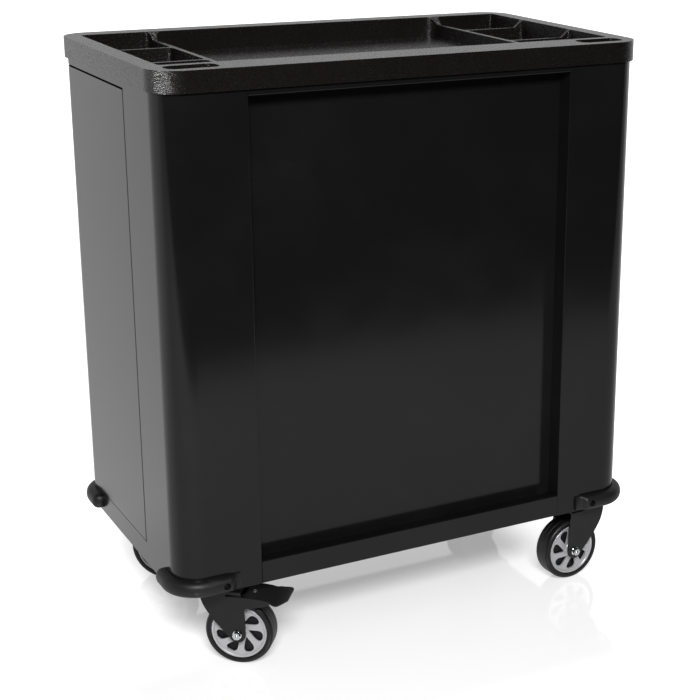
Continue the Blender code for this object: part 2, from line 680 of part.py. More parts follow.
def main():
    clear_scene()
    finish = finishes()
    steel, grey = finish["black_steel"], finish["grey_steel"]
    shell_left(steel)
    shell_right(steel)
    rear_panel(steel)
    rear_rails(steel)
    front_rails(steel)
    base_pan(steel)
    bulkhead(steel)
    drawer_liner(grey)
    runner_racks(finish["zinc"])
    bay_shelf(grey)
    top_tray(finish["tray_plastic"])
    for name, side_x, side_y in (
        ("bumper_rear_right", 1, 1),
        ("bumper_rear_left", -1, 1),
        ("bumper_front_right", 1, -1),
        ("bumper_front_left", -1, -1),
    ):
        bumper(name, side_x, side_y, finish["bumper_rubber"])
    for number, (low, high) in enumerate(drawer_spans(), start=1):
        drawer(number, low, high, steel)
        drawer_pull(number, high, finish["pull"])
    door_skin(steel)
    door_liner(grey)
    top, bottom = OPENING_HIGH, OPENING_LOW
    door_hinge("hinge_bracket_top", top, top + SHEET, top - PIN_LENGTH, top + SHEET / 2, finish["zinc"])
    door_hinge("hinge_bracket_bottom", bottom - SHEET, bottom, bottom - SHEET / 2, bottom + PIN_LENGTH, finish["zinc"])
    lock(finish["chrome"])
    casters(finish)
    for item in bpy.data.objects:
        if item.parent is None:
            item.location.y += BODY_SHIFT_Y


main()
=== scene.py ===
"""Looks of the rolling tool cabinet, laid out as an add-on with one operator for each group of pieces.

Metres, +Z up. Pieces are drawn about the middle of the cabinet's body and then moved to the frame.
"""

import json
from math import cos, hypot, pi, radians, sin

import bmesh
import bpy
from bpy.props import FloatProperty, FloatVectorProperty, IntProperty, PointerProperty
from mathutils import Matrix, Vector


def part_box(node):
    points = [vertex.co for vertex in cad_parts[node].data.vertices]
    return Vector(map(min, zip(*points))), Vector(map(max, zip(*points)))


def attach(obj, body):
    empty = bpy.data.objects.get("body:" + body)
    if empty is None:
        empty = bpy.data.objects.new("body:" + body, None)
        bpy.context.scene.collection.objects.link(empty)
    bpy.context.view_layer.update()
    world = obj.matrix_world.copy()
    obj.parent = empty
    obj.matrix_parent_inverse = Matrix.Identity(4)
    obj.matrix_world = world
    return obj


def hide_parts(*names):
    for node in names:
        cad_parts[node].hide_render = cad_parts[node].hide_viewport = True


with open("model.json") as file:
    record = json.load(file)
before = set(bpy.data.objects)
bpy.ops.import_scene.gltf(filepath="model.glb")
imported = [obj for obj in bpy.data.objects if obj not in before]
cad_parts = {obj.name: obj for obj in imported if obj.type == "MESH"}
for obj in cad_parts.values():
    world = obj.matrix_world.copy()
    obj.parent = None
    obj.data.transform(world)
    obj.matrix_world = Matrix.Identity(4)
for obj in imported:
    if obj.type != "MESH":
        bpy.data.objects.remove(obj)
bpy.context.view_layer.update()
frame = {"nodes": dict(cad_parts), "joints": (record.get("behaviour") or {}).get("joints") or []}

bl_info = {
    "name": "Rolling Tool Cabinet",
    "version": (1, 0, 0),
    "blender": (4, 5, 0),
    "location": "3D View > Sidebar > Tool Cabinet",
    "description": "Builds the finished looks of a rolling tool cabinet over its frame",
    "category": "Object",
}

# Places and sizes read from the frame
PAN_LOW, PAN_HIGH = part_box("base_pan")
SHELL_LOW, SHELL_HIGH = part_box("shell_left")
TRAY_LOW, TRAY_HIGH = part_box("top_tray")
BODY_Y = (SHELL_LOW.y + SHELL_HIGH.y) / 2
IN_FRAME = Matrix.Identity(4)
HALF_W = -SHELL_LOW.x
HALF_D = (SHELL_HIGH.y - SHELL_LOW.y) / 2
BASE_Z = SHELL_LOW.z
SHELL_TOP_Z = SHELL_HIGH.z
TRAY_TOP_Z = TRAY_HIGH.z
TRAY_HALF_W = TRAY_HIGH.x
TRAY_HALF_D = (TRAY_HIGH.y - TRAY_LOW.y) / 2

# Body
CORNER_RADIUS = 0.040
SHEET = 0.0012
GAP = 0.0003
SEAM = 0.0012
SKIRT_Z = BASE_Z + 0.712
OPENING_LOW = BASE_Z + 0.034
OPENING_HIGH = SKIRT_Z - 0.010
RECESS_HALF = 0.2515
RECESS_Y = HALF_D - 0.028
RECESS_LOW = BASE_Z + 0.030
RECESS_HIGH = SKIRT_Z - 0.009
RAIL_FLANGE = 0.015
RAIL_LIP = 0.005
FRONT_POST_X = -0.300
RETURN_DEPTH = 0.025
MULLION_RIGHT = 0.252

# Tray
BASIN_HALF = 0.240
STRIP_INNER = 0.247
STRIP_OUTER = 0.353
POCKET_FRONT = -0.186
POCKET_REAR = 0.158
DIVIDERS_Y = (-0.089, 0.052)
SLOT = (0.281, 0.170, 0.355, 0.203)
TRAY_PLUG = (0.362, -0.1895, 0.1855)

# Drawers and door
DRAWERS = tuple(range(1, 8))
DRAWER_FRONT = 0.014
DRAWER_BOX_HALF = 0.2495
DOOR_REAR_EDGE = 0.0745
HINGE_RADIUS = 0.003
HINGE_X = HALF_W - HINGE_RADIUS
HINGE_Y = DOOR_REAR_EDGE - SEAM - HINGE_RADIUS

# Casters
CASTERS = ("rear_right", "rear_left", "front_right", "front_left")
BRAKED = ("rear_right", "front_right")
TRAIL = 0.028
WHEEL_RADIUS = 0.0508
HUB_RADIUS = 0.0415
HUB_HALF = 0.0150
TYRE_HALF = 0.0160
FORK_HALF = 0.0235
LEG_SHEET = 0.0025
LEG_RADIUS = 0.0125
PEDAL_SHEET = 0.002
CHEEK_INNER = FORK_HALF + 0.0007
PAD_HALF = 0.031
OPENING_TURN = radians(39.4)


def joint(name):
    return next(item for item in frame["joints"] if item["name"] == name)


class CabinetSizes(bpy.types.PropertyGroup):
    fold_radius: FloatProperty(
        name="Fold radius",
        description="Outer radius of the folds in the sheet",
        default=0.0016,
        unit="LENGTH",
    )
    corner_steps: IntProperty(
        name="Corner steps", description="Faces round each rounded corner of the body", default=28, min=4
    )
    rim_radius: FloatProperty(
        name="Rim radius", description="Rounding along the tray's outer rim", default=0.0034, unit="LENGTH"
    )
    pocket_radius: FloatProperty(
        name="Pocket edge radius",
        description="Rounding of the tray's inner edges",
        default=0.0019,
        unit="LENGTH",
    )
    grain_size: FloatProperty(
        name="Grain size", description="Distance between grains on the tray", default=0.0017, unit="LENGTH"
    )
    hub_openings: IntProperty(
        name="Hub openings", description="Number of teardrop openings in each wheel face", default=7, min=3
    )
    screw_radius: FloatProperty(
        name="Screw head radius",
        description="Radius of the bumper screws' heads",
        default=0.0036,
        unit="LENGTH",
    )


class CabinetColours(bpy.types.PropertyGroup):
    paint: FloatVectorProperty(
        name="Paint", description="Gloss powder coat", subtype="COLOR", default=(0.0062, 0.0062, 0.0064)
    )
    tray: FloatVectorProperty(
        name="Tray",
        description="Grained plastic of the tray",
        subtype="COLOR",
        default=(0.0042, 0.0033, 0.0031),
    )
    bumper: FloatVectorProperty(
        name="Bumper",
        description="Rubber of the corner bumpers",
        subtype="COLOR",
        default=(0.0065, 0.0065, 0.0065),
    )
    tyre: FloatVectorProperty(
        name="Tyre", description="Rubber of the tyres", subtype="COLOR", default=(0.004, 0.004, 0.004)
    )
    hub: FloatVectorProperty(
        name="Hub", description="Silver of the wheel hubs", subtype="COLOR", default=(0.43, 0.43, 0.44)
    )


class CabinetStudio(bpy.types.PropertyGroup):
    lens: FloatProperty(name="Lens", description="Focal length of the camera", default=81.8, unit="CAMERA")
    backdrop: FloatProperty(
        name="Backdrop", description="Brightness behind the object", default=0.7, min=0.0
    )
    floor_glow: FloatProperty(
        name="Floor glow", description="Light that the floor gives off", default=0.32, min=0.0
    )
    front_power: FloatProperty(
        name="Front softbox",
        description="Power of the softbox on the camera's side",
        default=165.0,
        unit="POWER",
    )
    strip_power: FloatProperty(
        name="Overhead strip",
        description="Power of the strip light over the tray",
        default=70.0,
        unit="POWER",
    )
    corner_power: FloatProperty(
        name="Corner strips",
        description="Power of each small light beside the tray's corner",
        default=6.0,
        unit="POWER",
    )


def settings():
    return bpy.context.scene.cabinet_sizes


# Outlines


def arc(x, y, radius, start, end, steps):
    """Points on a circle from start to end, both in degrees and both included."""
    angles = [radians(start + (end - start) * i / steps) for i in range(steps + 1)]
    return [(x + radius * cos(a), y + radius * sin(a)) for a in angles]


def rounded_rectangle(low_x, low_y, high_x, high_y, radius, steps=8):
    corners = (
        (high_x - radius, high_y - radius, 0),
        (low_x + radius, high_y - radius, 90),
        (low_x + radius, low_y + radius, 180),
        (high_x - radius, low_y + radius, 270),
    )
    points = []
    for x, y, start in corners:
        points += arc(x, y, radius, start, start + 90, steps)
    return points


def folded(path, radius, steps=5, support=0.0006):
    """Rounds the inner corners of an open path, with a close point on each side to keep the flats flat."""
    points = [Vector(p) for p in path]
    made = [points[0]]
    for before, corner, after in zip(points, points[1:], points[2:]):
        into = (before - corner).normalized()
        out = (after - corner).normalized()
        turn_angle = pi - into.angle(out)
        if turn_angle < radians(20):
            made.append(corner)
            continue
        reach = radius * (1 - cos(turn_angle)) / sin(turn_angle) if turn_angle < radians(179) else radius
        start, end = corner + into * reach, corner + out * reach
        made.append(corner + into * (reach + support))
        for i in range(steps + 1):
            t = i / steps
            made.append(start * (1 - t) ** 2 + corner * 2 * t * (1 - t) + end * t**2)
        made.append(corner + out * (reach + support))
    return [tuple(p) for p in made + [points[-1]]]


def thicken(path, thickness):
    """The closed outline of a sheet that lies to the left of an open path."""
    points = [Vector(p) for p in path]
    headings = [(b - a).normalized() for a, b in zip(points, points[1:])]
    inner = []
    for index, point in enumerate(points):
        before = headings[max(index - 1, 0)]
        after = headings[min(index, len(headings) - 1)]
        normal = Vector((-before.y, before.x))
        mitre = (normal + Vector((-after.y, after.x))).normalized()
        inner.append(point + mitre * thickness / mitre.dot(normal))
    return [tuple(p) for p in points + inner[::-1]]


# Solids


def prism(outline, low, high, axis="Z"):
    """Extrudes an outline along an axis. The outline's own axes are XY, YZ or XZ."""
    place = {
        "Z": lambda a, b, c: (a, b, c),
        "X": lambda a, b, c: (c, a, b),
        "Y": lambda a, b, c: (a, c, b),
    }[axis]
    made = bmesh.new()
    face = made.faces.new([made.verts.new(place(a, b, low)) for a, b in outline])
    grown = bmesh.ops.extrude_face_region(made, geom=[face])
    moved = [item for item in grown["geom"] if isinstance(item, bmesh.types.BMVert)]
    bmesh.ops.translate(made, verts=moved, vec=Vector(place(0, 0, high - low)))
    bmesh.ops.recalc_face_normals(made, faces=made.faces)
    return made


def block(low, high):
    (low_x, low_y, low_z), (high_x, high_y, high_z) = low, high
    return prism(((low_x, low_y), (high_x, low_y), (high_x, high_y), (low_x, high_y)), low_z, high_z)


def turned(profile, steps):
    """Spins a closed (radius, height) profile about Z."""
    made = bmesh.new()
    verts = [made.verts.new((radius, 0, height)) for radius, height in profile]
    edges = [made.edges.new(pair) for pair in zip(verts, verts[1:] + verts[:1])]
    bmesh.ops.spin(
        made, geom=verts + edges, cent=(0, 0, 0), axis=(0, 0, 1), angle=2 * pi, steps=steps, use_merge=True
    )
    bmesh.ops.remove_doubles(made, verts=made.verts, dist=1e-6)
    bmesh.ops.recalc_face_normals(made, faces=made.faces)
    return made


def moved(made, matrix):
    bmesh.ops.transform(made, matrix=matrix, verts=made.verts)
    return made


def added(made, *others):
    """Puts the other meshes into the first one as separate closed parts."""
    for other in others:
        mesh = bpy.data.meshes.new("part")
        other.to_mesh(mesh)
        other.free()
        made.from_mesh(mesh)
        bpy.data.meshes.remove(mesh)
    return made


def combined(made, tool, operation="DIFFERENCE"):
    """The first mesh cut by, or joined with, the second."""
    objects = []
    for name, source in (("work", made), ("tool", tool)):
        mesh = bpy.data.meshes.new(name)
        source.to_mesh(mesh)
        source.free()
        item = bpy.data.objects.new(name, mesh)
        bpy.context.collection.objects.link(item)
        objects.append(item)
    work, cutter = objects
    modifier = work.modifiers.new("combine", "BOOLEAN")
    modifier.operation = operation
    modifier.solver = "EXACT"
    modifier.object = cutter
    graph = bpy.context.evaluated_depsgraph_get()
    mesh = bpy.data.meshes.new_from_object(work.evaluated_get(graph))
    result = bmesh.new()
    result.from_mesh(mesh)
    bpy.data.meshes.remove(mesh)
    for item in objects:
        bpy.data.objects.remove(item, do_unlink=True)
    return result


def placed(name, mesh, finish, body, replaced=(), sharp=35.0):
    """Makes a piece of a mesh that is already in the frame, smooth except at its sharp edges."""
    mesh.materials.clear()
    mesh.materials.append(finish)
    mesh.shade_smooth()
    mesh.set_sharp_from_angle(angle=radians(sharp))
    piece = bpy.data.objects.new(name, mesh)
    bpy.context.collection.objects.link(piece)
    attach(piece, body)
    if replaced:
        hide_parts(*replaced)
    return piece


def publish(name, made, finish, body, replaced=(), sharp=35.0, place=None):
    """Makes a piece of a mesh drawn about the middle of the body, or in its own place."""
    mesh = bpy.data.meshes.new(name)
    made.to_mesh(mesh)
    made.free()
    mesh.transform(place if place else Matrix.Translation((0, BODY_Y, 0)))
    return placed(name, mesh, finish, body, replaced, sharp)


def rounded_edges(piece, width, segments=2, angle=35.0, by_weight=False):
    bevel = piece.modifiers.new("edge rounding", "BEVEL")
    bevel.width = width
    bevel.segments = segments
    bevel.limit_method = "WEIGHT" if by_weight else "ANGLE"
    bevel.angle_limit = radians(angle)
    bevel.harden_normals = True
    bevel.miter_outer = "MITER_ARC"
    return piece


# Finishes


class Wire:
    """A node's socket that stands in a Python expression; each operation adds a Math node."""

    def __init__(self, nodes, socket):
        self.nodes = nodes
        self.socket = socket

    def __add__(self, other):
        return self.nodes.math("ADD", self, other)

    def __radd__(self, other):
        return self.nodes.math("ADD", other, self)

    def __sub__(self, other):
        return self.nodes.math("SUBTRACT", self, other)

    def __rsub__(self, other):
        return self.nodes.math("SUBTRACT", other, self)

    def __mul__(self, other):
        return self.nodes.math("MULTIPLY", self, other)

    def __rmul__(self, other):
        return self.nodes.math("MULTIPLY", other, self)

    def __truediv__(self, other):
        return self.nodes.math("DIVIDE", self, other)

    def __pow__(self, other):
        return self.nodes.math("POWER", self, other)


class Nodes:
    """A node tree that is built by calls and by expressions on its sockets."""

    def __init__(self, tree):
        self.tree = tree

    def feed(self, value, socket):
        if isinstance(value, Wire):
            self.tree.links.new(value.socket, socket)
        else:
            socket.default_value = value

    def add(self, kind, options, inputs, output=0):
        """Adds a node, sets its options and then its sockets, and returns one of its outputs."""
        node = self.tree.nodes.new(kind)
        for option, value in options.items():
            if option == "stops":
                self._stops(node.color_ramp, value)
            else:
                setattr(node, option, value)
        for socket, value in inputs.items():
            for one in value if isinstance(value, list) else [value]:
                self.feed(one, node.inputs[socket])
        return Wire(self, node.outputs[output])

    @staticmethod
    def _stops(ramp, stops):
        while len(ramp.elements) > 1:
            ramp.elements.remove(ramp.elements[-1])
        for index, (position, value) in enumerate(stops):
            element = ramp.elements[0] if index == 0 else ramp.elements.new(position)
            element.position = position
            element.color = (value, value, value, 1.0)

    def math(self, operation, first, second=0.0):
        return self.add("ShaderNodeMath", {"operation": operation}, {0: first, 1: second})

    def larger(self, first, second):
        return self.math("MAXIMUM", first, second)

    def part(self, vector, axis):
        return self.add("ShaderNodeSeparateXYZ", {}, {"Vector": vector}, axis)

    def ease(self, value, low, high, first=0.0, second=1.0):
        """From first to second as the value goes from low to high, with soft ends."""
        limits = {"Value": value, "From Min": low, "From Max": high, "To Min": first, "To Max": second}
        return self.add("ShaderNodeMapRange", {"interpolation_type": "SMOOTHSTEP"}, limits)


class Finish(Nodes):
    """One material, with the nodes that give it its detail."""

    def __init__(self, name, colour, roughness, metallic=0.0, **fixed):
        self.material = bpy.data.materials.new(name)
        self.material.use_nodes = True
        super().__init__(self.material.node_tree)
        self.shader = self.tree.nodes["Principled BSDF"]
        self.set("Base Color", (*colour, 1.0))
        self.set("Roughness", roughness)
        self.set("Metallic", metallic)
        for socket, value in fixed.items():
            self.set(socket, value)
        self.position = self.add("ShaderNodeTexCoord", {}, {}, "Object")

    def set(self, socket, value):
        self.feed(value, self.shader.inputs[socket])

    def noise(self, scale, detail=2.0, roughness=0.5, stretch=None):
        vector = self.position
        if stretch:
            vector = self.add("ShaderNodeMapping", {}, {"Vector": vector, "Scale": stretch})
        return self.add(
            "ShaderNodeTexNoise", {}, {
                "Vector": vector, "Scale": scale, "Detail": detail, "Roughness": roughness
            }
        )

    def cells(self, scale, feature="F1", smoothness=0.6):
        inputs = {"Vector": self.position, "Scale": scale}
        if feature == "SMOOTH_F1":
            inputs["Smoothness"] = smoothness
        return self.add("ShaderNodeTexVoronoi", {"feature": feature}, inputs)

    def ramp(self, value, *stops):
        return self.add("ShaderNodeValToRGB", {"stops": stops}, {"Fac": value})

    def tint(self, amount, dark, light):
        """A colour between two colours."""
        return self.add(
            "ShaderNodeMix",
            {"data_type": "RGBA"},
            {"Factor": amount, 6: (*dark, 1.0), 7: (*light, 1.0)},
            2,
        )

    def bump(self, height, strength, distance):
        relief = self.add(
            "ShaderNodeBump", {}, {"Height": height, "Strength": strength, "Distance": distance}
        )
        self.set("Normal", relief)


def scaled(colour, factor):
    return tuple(min(channel * factor, 1.0) for channel in colour)


def paint_finish(name, colour, roughness, peel=0.3):
    """Powder coat: slight orange peel, faint unevenness of gloss and a little dust."""
    made = Finish(name, colour, roughness, IOR=1.36)
    dust = made.ramp(made.noise(9.0, 6.0, 0.6), (0.45, 0.0), (0.75, 1.0))
    made.set("Base Color", made.tint(dust, colour, scaled(colour, 1.35)))
    made.set("Roughness", roughness + dust * 0.03 + made.noise(300.0, 2.0) * 0.02)
    made.bump(made.noise(420.0, 1.0) + made.noise(1400.0, 1.0) * 0.3, peel, 0.00006)
    return made.material


def grained_finish(name, colour, grain_size):
    """Moulded plastic with a coarse leather-like grain, glossier on the tops of the grains, whose tops also
    get a painted highlight that makes them lighter.
    """
    made = Finish(name, colour, 0.3, IOR=1.45)
    lumps = made.cells(1 / grain_size, "SMOOTH_F1", 0.7)
    fine = made.noise(0.9 / grain_size, 3.0, 0.55)
    grain_crests_and_sheen = 1 - made.ramp(lumps, (0.1, 0.0), (0.75, 1.0))
    patches = made.noise(14.0, 3.0)
    # Painted highlight: the grain tops are made lighter in colour; the patches are random tone.
    made.set(
        "Base Color", made.tint(grain_crests_and_sheen * 0.5 + patches * 0.3, scaled(colour, 0.7), scaled(colour, 1.6))
    )
    made.set("Roughness", 0.27 - grain_crests_and_sheen * 0.12 + patches * 0.06)
    made.bump(grain_crests_and_sheen * 0.7 + fine * 0.7, 0.7, 0.0005)
    return made.material


def rubber_finish(name, colour, roughness=0.48):
    made = Finish(name, colour, roughness, IOR=1.4)
    speckle = made.noise(900.0, 2.0)
    scuffs = made.ramp(made.noise(38.0, 5.0, 0.65), (0.5, 0.0), (0.72, 1.0))
    made.set("Base Color", made.tint(scuffs * 0.7, colour, scaled(colour, 1.9)))
    made.set("Roughness", roughness + scuffs * 0.12 - speckle * 0.05)
    made.bump(speckle + made.noise(2600.0, 1.0) * 0.5, 0.35, 0.00008)
    return made.material


def brushed_finish(name, colour, roughness, stretch, metallic=1.0):
    """Brushed metal, whose lines run along the axis with the smallest stretch."""
    made = Finish(name, colour, roughness, metallic)
    lines = made.noise(1.0, 3.0, 0.7, stretch)
    smudges = made.noise(25.0, 3.0)
    made.set(
        "Base Color", made.tint(lines * 0.6 + smudges * 0.3, scaled(colour, 0.82), scaled(colour, 1.1))
    )
    made.set("Roughness", roughness + lines * 0.12 + smudges * 0.08)
    made.bump(lines, 0.25, 0.00003)
    return made.material


def zinc_finish(name):
    """Zinc plate, with its mottled spangle."""
    made = Finish(name, (0.56, 0.57, 0.58), 0.34, 1.0)
    spangle = made.cells(260.0)
    smudges = made.noise(30.0, 4.0)
    made.set("Base Color", made.tint(spangle * 0.6 + smudges * 0.4, (0.42, 0.43, 0.45), (0.66, 0.67, 0.68)))
    made.set("Roughness", 0.28 + smudges * 0.16 + spangle * 0.05)
    made.bump(smudges, 0.1, 0.00005)
    return made.material


def hub_finish(name, colour):
    """Silver-painted moulding with a fine sparkle."""
    made = Finish(name, colour, 0.32, 0.2)
    sparkle = made.cells(2600.0)
    grime = made.ramp(made.noise(60.0, 5.0, 0.6), (0.5, 0.0), (0.8, 1.0))
    made.set("Base Color", made.tint(sparkle * 0.5 + 0.35, scaled(colour, 0.85), scaled(colour, 1.12)))
    made.set("Roughness", 0.3 + grime * 0.12 + sparkle * 0.06)
    made.bump(made.noise(1800.0, 1.0), 0.12, 0.00003)
    return made.material


def chrome_finish(name):
    made = Finish(name, (0.72, 0.73, 0.74), 0.09, 1.0)
    haze = made.noise(90.0, 4.0)
    made.set("Base Color", made.tint(haze, (0.64, 0.65, 0.66), (0.78, 0.79, 0.80)))
    made.set("Roughness", 0.07 + haze * 0.08)
    made.bump(made.noise(1200.0, 1.0), 0.08, 0.00002)
    return made.material


def foam_finish(name):
    made = Finish(name, (0.030, 0.030, 0.032), 0.9)
    pores = made.cells(900.0)
    made.set("Base Color", made.tint(pores, (0.018, 0.018, 0.019), (0.045, 0.045, 0.048)))
    made.set("Roughness", 0.82 + pores * 0.12)
    made.bump(pores, 0.6, 0.0002)
    return made.material


def finishes():
    """All the finishes, made once and then found by name."""
    if "gloss powder coat" in bpy.data.materials:
        return
    colours = bpy.context.scene.cabinet_colours
    paint_finish("gloss powder coat", colours.paint, 0.13)
    paint_finish("satin powder coat", (0.055, 0.055, 0.058), 0.38, 0.6)
    paint_finish("fork paint", (0.010, 0.010, 0.010), 0.27, 0.5)
    paint_finish("pedal plastic", (0.009, 0.009, 0.009), 0.32, 0.8)
    paint_finish("hub shadow plastic", (0.006, 0.006, 0.007), 0.5, 0.8)
    grained_finish("grained tray plastic", colours.tray, settings().grain_size)
    rubber_finish("bumper rubber", colours.bumper, 0.50)
    rubber_finish("tyre rubber", colours.tyre, 0.42)
    zinc_finish("zinc plate")
    hub_finish("silver hub", colours.hub)
    chrome_finish("bright chrome")
    foam_finish("drawer mat foam")
    brushed_finish("brushed pull", (0.30, 0.30, 0.31), 0.30, (6.0, 900.0, 900.0))
    brushed_finish("blackened steel", (0.06, 0.06, 0.062), 0.34, (700.0, 700.0, 60.0))


def finish(name):
    finishes()
    return bpy.data.materials[name]


# Repeats, made with geometry nodes


class Recipe(Nodes):
    """A geometry node tree with named inputs for its sizes."""

    def __init__(self, name, sizes):
        super().__init__(bpy.data.node_groups.new(name, "GeometryNodeTree"))
        face = self.tree.interface
        face.new_socket("Geometry", in_out="INPUT", socket_type="NodeSocketGeometry")
        for label, kind in sizes.items():
            face.new_socket(label, in_out="INPUT", socket_type=f"NodeSocket{kind}")
        face.new_socket("Material", in_out="INPUT", socket_type="NodeSocketMaterial")
        face.new_socket("Geometry", in_out="OUTPUT", socket_type="NodeSocketGeometry")
        self.inputs = self.tree.nodes.new("NodeGroupInput")
        self.output = self.tree.nodes.new("NodeGroupOutput")

    def size(self, label):
        return Wire(self, self.inputs.outputs[label])

    def point(self, **parts):
        return self.add("ShaderNodeCombineXYZ", {}, parts)

    def done(self, geometry):
        """Ends the tree with real geometry in the chosen material."""
        real = self.add("GeometryNodeRealizeInstances", {}, {"Geometry": geometry})
        material = self.size("Material")
        covered = self.add("GeometryNodeSetMaterial", {}, {"Geometry": real, "Material": material})
        self.feed(covered, self.output.inputs["Geometry"])
        return self.tree


def cooked(recipe, points, values):
    """The plain mesh that a tree makes from some points and its named inputs."""
    mesh = bpy.data.meshes.new("points")
    mesh.from_pydata([tuple(p) for p in points], [], [])
    holder = bpy.data.objects.new("holder", mesh)
    bpy.context.collection.objects.link(holder)
    modifier = holder.modifiers.new("recipe", "NODES")
    modifier.node_group = recipe
    sockets = {item.name: item.identifier for item in recipe.interface.items_tree if item.in_out == "INPUT"}
    for label, value in values.items():
        modifier[sockets[label]] = value
    graph = bpy.context.evaluated_depsgraph_get()
    graph.update()
    result = bpy.data.meshes.new_from_object(holder.evaluated_get(graph))
    holder.modifiers.remove(modifier)
    bpy.data.objects.remove(holder, do_unlink=True)
    return result


def screw_recipe():
    """Pan-head screws with a cross recess, one at each point, all facing one way."""
    if "screw heads" in bpy.data.node_groups:
        return bpy.data.node_groups["screw heads"]
    recipe = Recipe("screw heads", {"Radius": "Float", "Height": "Float", "Facing": "Vector"})
    radius, height = recipe.size("Radius"), recipe.size("Height")
    sizes = {"Vertices": 18, "Radius Top": radius * 0.72, "Radius Bottom": radius, "Depth": height}
    head = recipe.add("GeometryNodeMeshCone", {}, sizes)
    length, width = radius * 1.05, radius * 0.24
    bars = []
    for x, y in ((length, width), (width, length)):
        bar = recipe.add("GeometryNodeMeshCube", {}, {"Size": recipe.point(X=x, Y=y, Z=height)})
        lift = {"Geometry": bar, "Translation": recipe.point(Z=height)}
        bars.append(recipe.add("GeometryNodeTransform", {}, lift))
    options = {"operation": "DIFFERENCE", "solver": "EXACT"}
    drilled = recipe.add("GeometryNodeMeshBoolean", options, {"Mesh 1": head, "Mesh 2": bars})
    facing = {"Vector": recipe.size("Facing")}
    turned_to = recipe.add("FunctionNodeAlignRotationToVector", {"axis": "Z"}, facing)
    cloud = recipe.add("GeometryNodeMeshToPoints", {}, {"Mesh": recipe.size("Geometry")})
    heads = {"Points": cloud, "Instance": drilled, "Rotation": turned_to}
    return recipe.done(recipe.add("GeometryNodeInstanceOnPoints", {}, heads))


def screws(name, points, facing, radius, height, body, finish_name="blackened steel"):
    material = finish(finish_name)
    values = {"Radius": radius, "Height": height, "Facing": tuple(facing), "Material": material}
    mesh = cooked(screw_recipe(), points, values)
    return placed(name, mesh, material, body, sharp=30.0)


def hub_recipe():
    """A disc with a bore and a ring of swirled teardrop openings."""
    if "hub face" in bpy.data.node_groups:
        return bpy.data.node_groups["hub face"]
    lengths = ("Radius", "Bore", "Tip radius", "End radius", "Width", "Swirl", "Depth")
    recipe = Recipe("hub face", {label: "Float" for label in lengths} | {"Openings": "Int"})

    def circle(radius, steps):
        sizes = {"Resolution": steps, "Radius": radius}
        return recipe.add("GeometryNodeCurvePrimitiveCircle", {"mode": "RADIUS"}, sizes)

    drop = circle(1.0, 22)
    place = recipe.add("GeometryNodeInputPosition", {}, {})
    along = (recipe.part(place, "X") + 1.0) * 0.5
    tip = recipe.size("Tip radius")
    x = tip + along * (recipe.size("End radius") - tip)
    taper = along**1.3 * 0.8 + 0.2
    lean = (1.0 - along) ** 1.6 * recipe.size("Swirl")
    y = recipe.part(place, "Y") * taper * recipe.size("Width") + lean
    shape = {"Geometry": drop, "Position": recipe.point(X=x, Y=y)}
    shaped = recipe.add("GeometryNodeSetPosition", {}, shape)
    count = recipe.size("Openings")
    points = recipe.add("GeometryNodePoints", {}, {"Count": count})
    angle = recipe.add("GeometryNodeInputIndex", {}, {}) * (2 * pi) / count
    around = {"Points": points, "Instance": shaped, "Rotation": recipe.point(Z=angle)}
    ring = recipe.add("GeometryNodeInstanceOnPoints", {}, around)
    ring = recipe.add("GeometryNodeRealizeInstances", {}, {"Geometry": ring})
    outlines = [circle(recipe.size("Radius"), 72), circle(recipe.size("Bore"), 24), ring]
    joined = recipe.add("GeometryNodeJoinGeometry", {}, {"Geometry": outlines})
    face = recipe.add("GeometryNodeFillCurve", {}, {"Curve": joined})
    growth = {"Mesh": face, "Offset Scale": recipe.size("Depth"), "Individual": False}
    grown = recipe.add("GeometryNodeExtrudeMesh", {"mode": "FACES"}, growth)
    under = recipe.add("GeometryNodeFlipFaces", {}, {"Mesh": face})
    both = recipe.add("GeometryNodeJoinGeometry", {}, {"Geometry": [grown, under]})
    return recipe.done(recipe.add("GeometryNodeMergeByDistance", {}, {"Geometry": both, "Distance": 1e-6}))


# Body


def body_shell():
    """Smooth side sheets with their rounded posts and folds."""
    sizes = settings()
    inner_x, inner_y, steps = HALF_W - CORNER_RADIUS, HALF_D - CORNER_RADIUS, sizes.corner_steps
    support = 0.0008
    path = [(-RECESS_HALF, RECESS_Y), (-RECESS_HALF, HALF_D), (-inner_x + support, HALF_D)]
    path += arc(-inner_x, inner_y, CORNER_RADIUS, 90, 180, steps) + [(-HALF_W, inner_y - support)]
    path += [(-HALF_W, -inner_y + support)] + arc(-inner_x, -inner_y, CORNER_RADIUS, 180, 270, steps)
    path += [(-inner_x + support, -HALF_D), (FRONT_POST_X, -HALF_D), (FRONT_POST_X, -HALF_D + RETURN_DEPTH)]
    left = prism(thicken(folded(path, sizes.fold_radius), SHEET), BASE_Z, SHELL_TOP_Z)
    coat = finish("gloss powder coat")
    publish("left_shell", left, coat, "cabinet", ("shell_left",))

    path = [(MULLION_RIGHT + GAP, -HALF_D), (inner_x - support, -HALF_D)]
    path += arc(inner_x, -inner_y, CORNER_RADIUS, 270, 360, steps) + [(HALF_W, -inner_y + support)]
    path += [(HALF_W, inner_y - support)] + arc(inner_x, inner_y, CORNER_RADIUS, 0, 90, steps)
    path += [(inner_x - support, HALF_D), (RECESS_HALF, HALF_D), (RECESS_HALF, RECESS_Y)]
    right = prism(thicken(folded(path, sizes.fold_radius), SHEET), BASE_Z, SHELL_TOP_Z)
    opening = block((0.2, -0.3, OPENING_LOW), (0.4, DOOR_REAR_EDGE, OPENING_HIGH))
    right = combined(right, opening)
    publish("right_shell", right, coat, "cabinet", ("shell_right",))


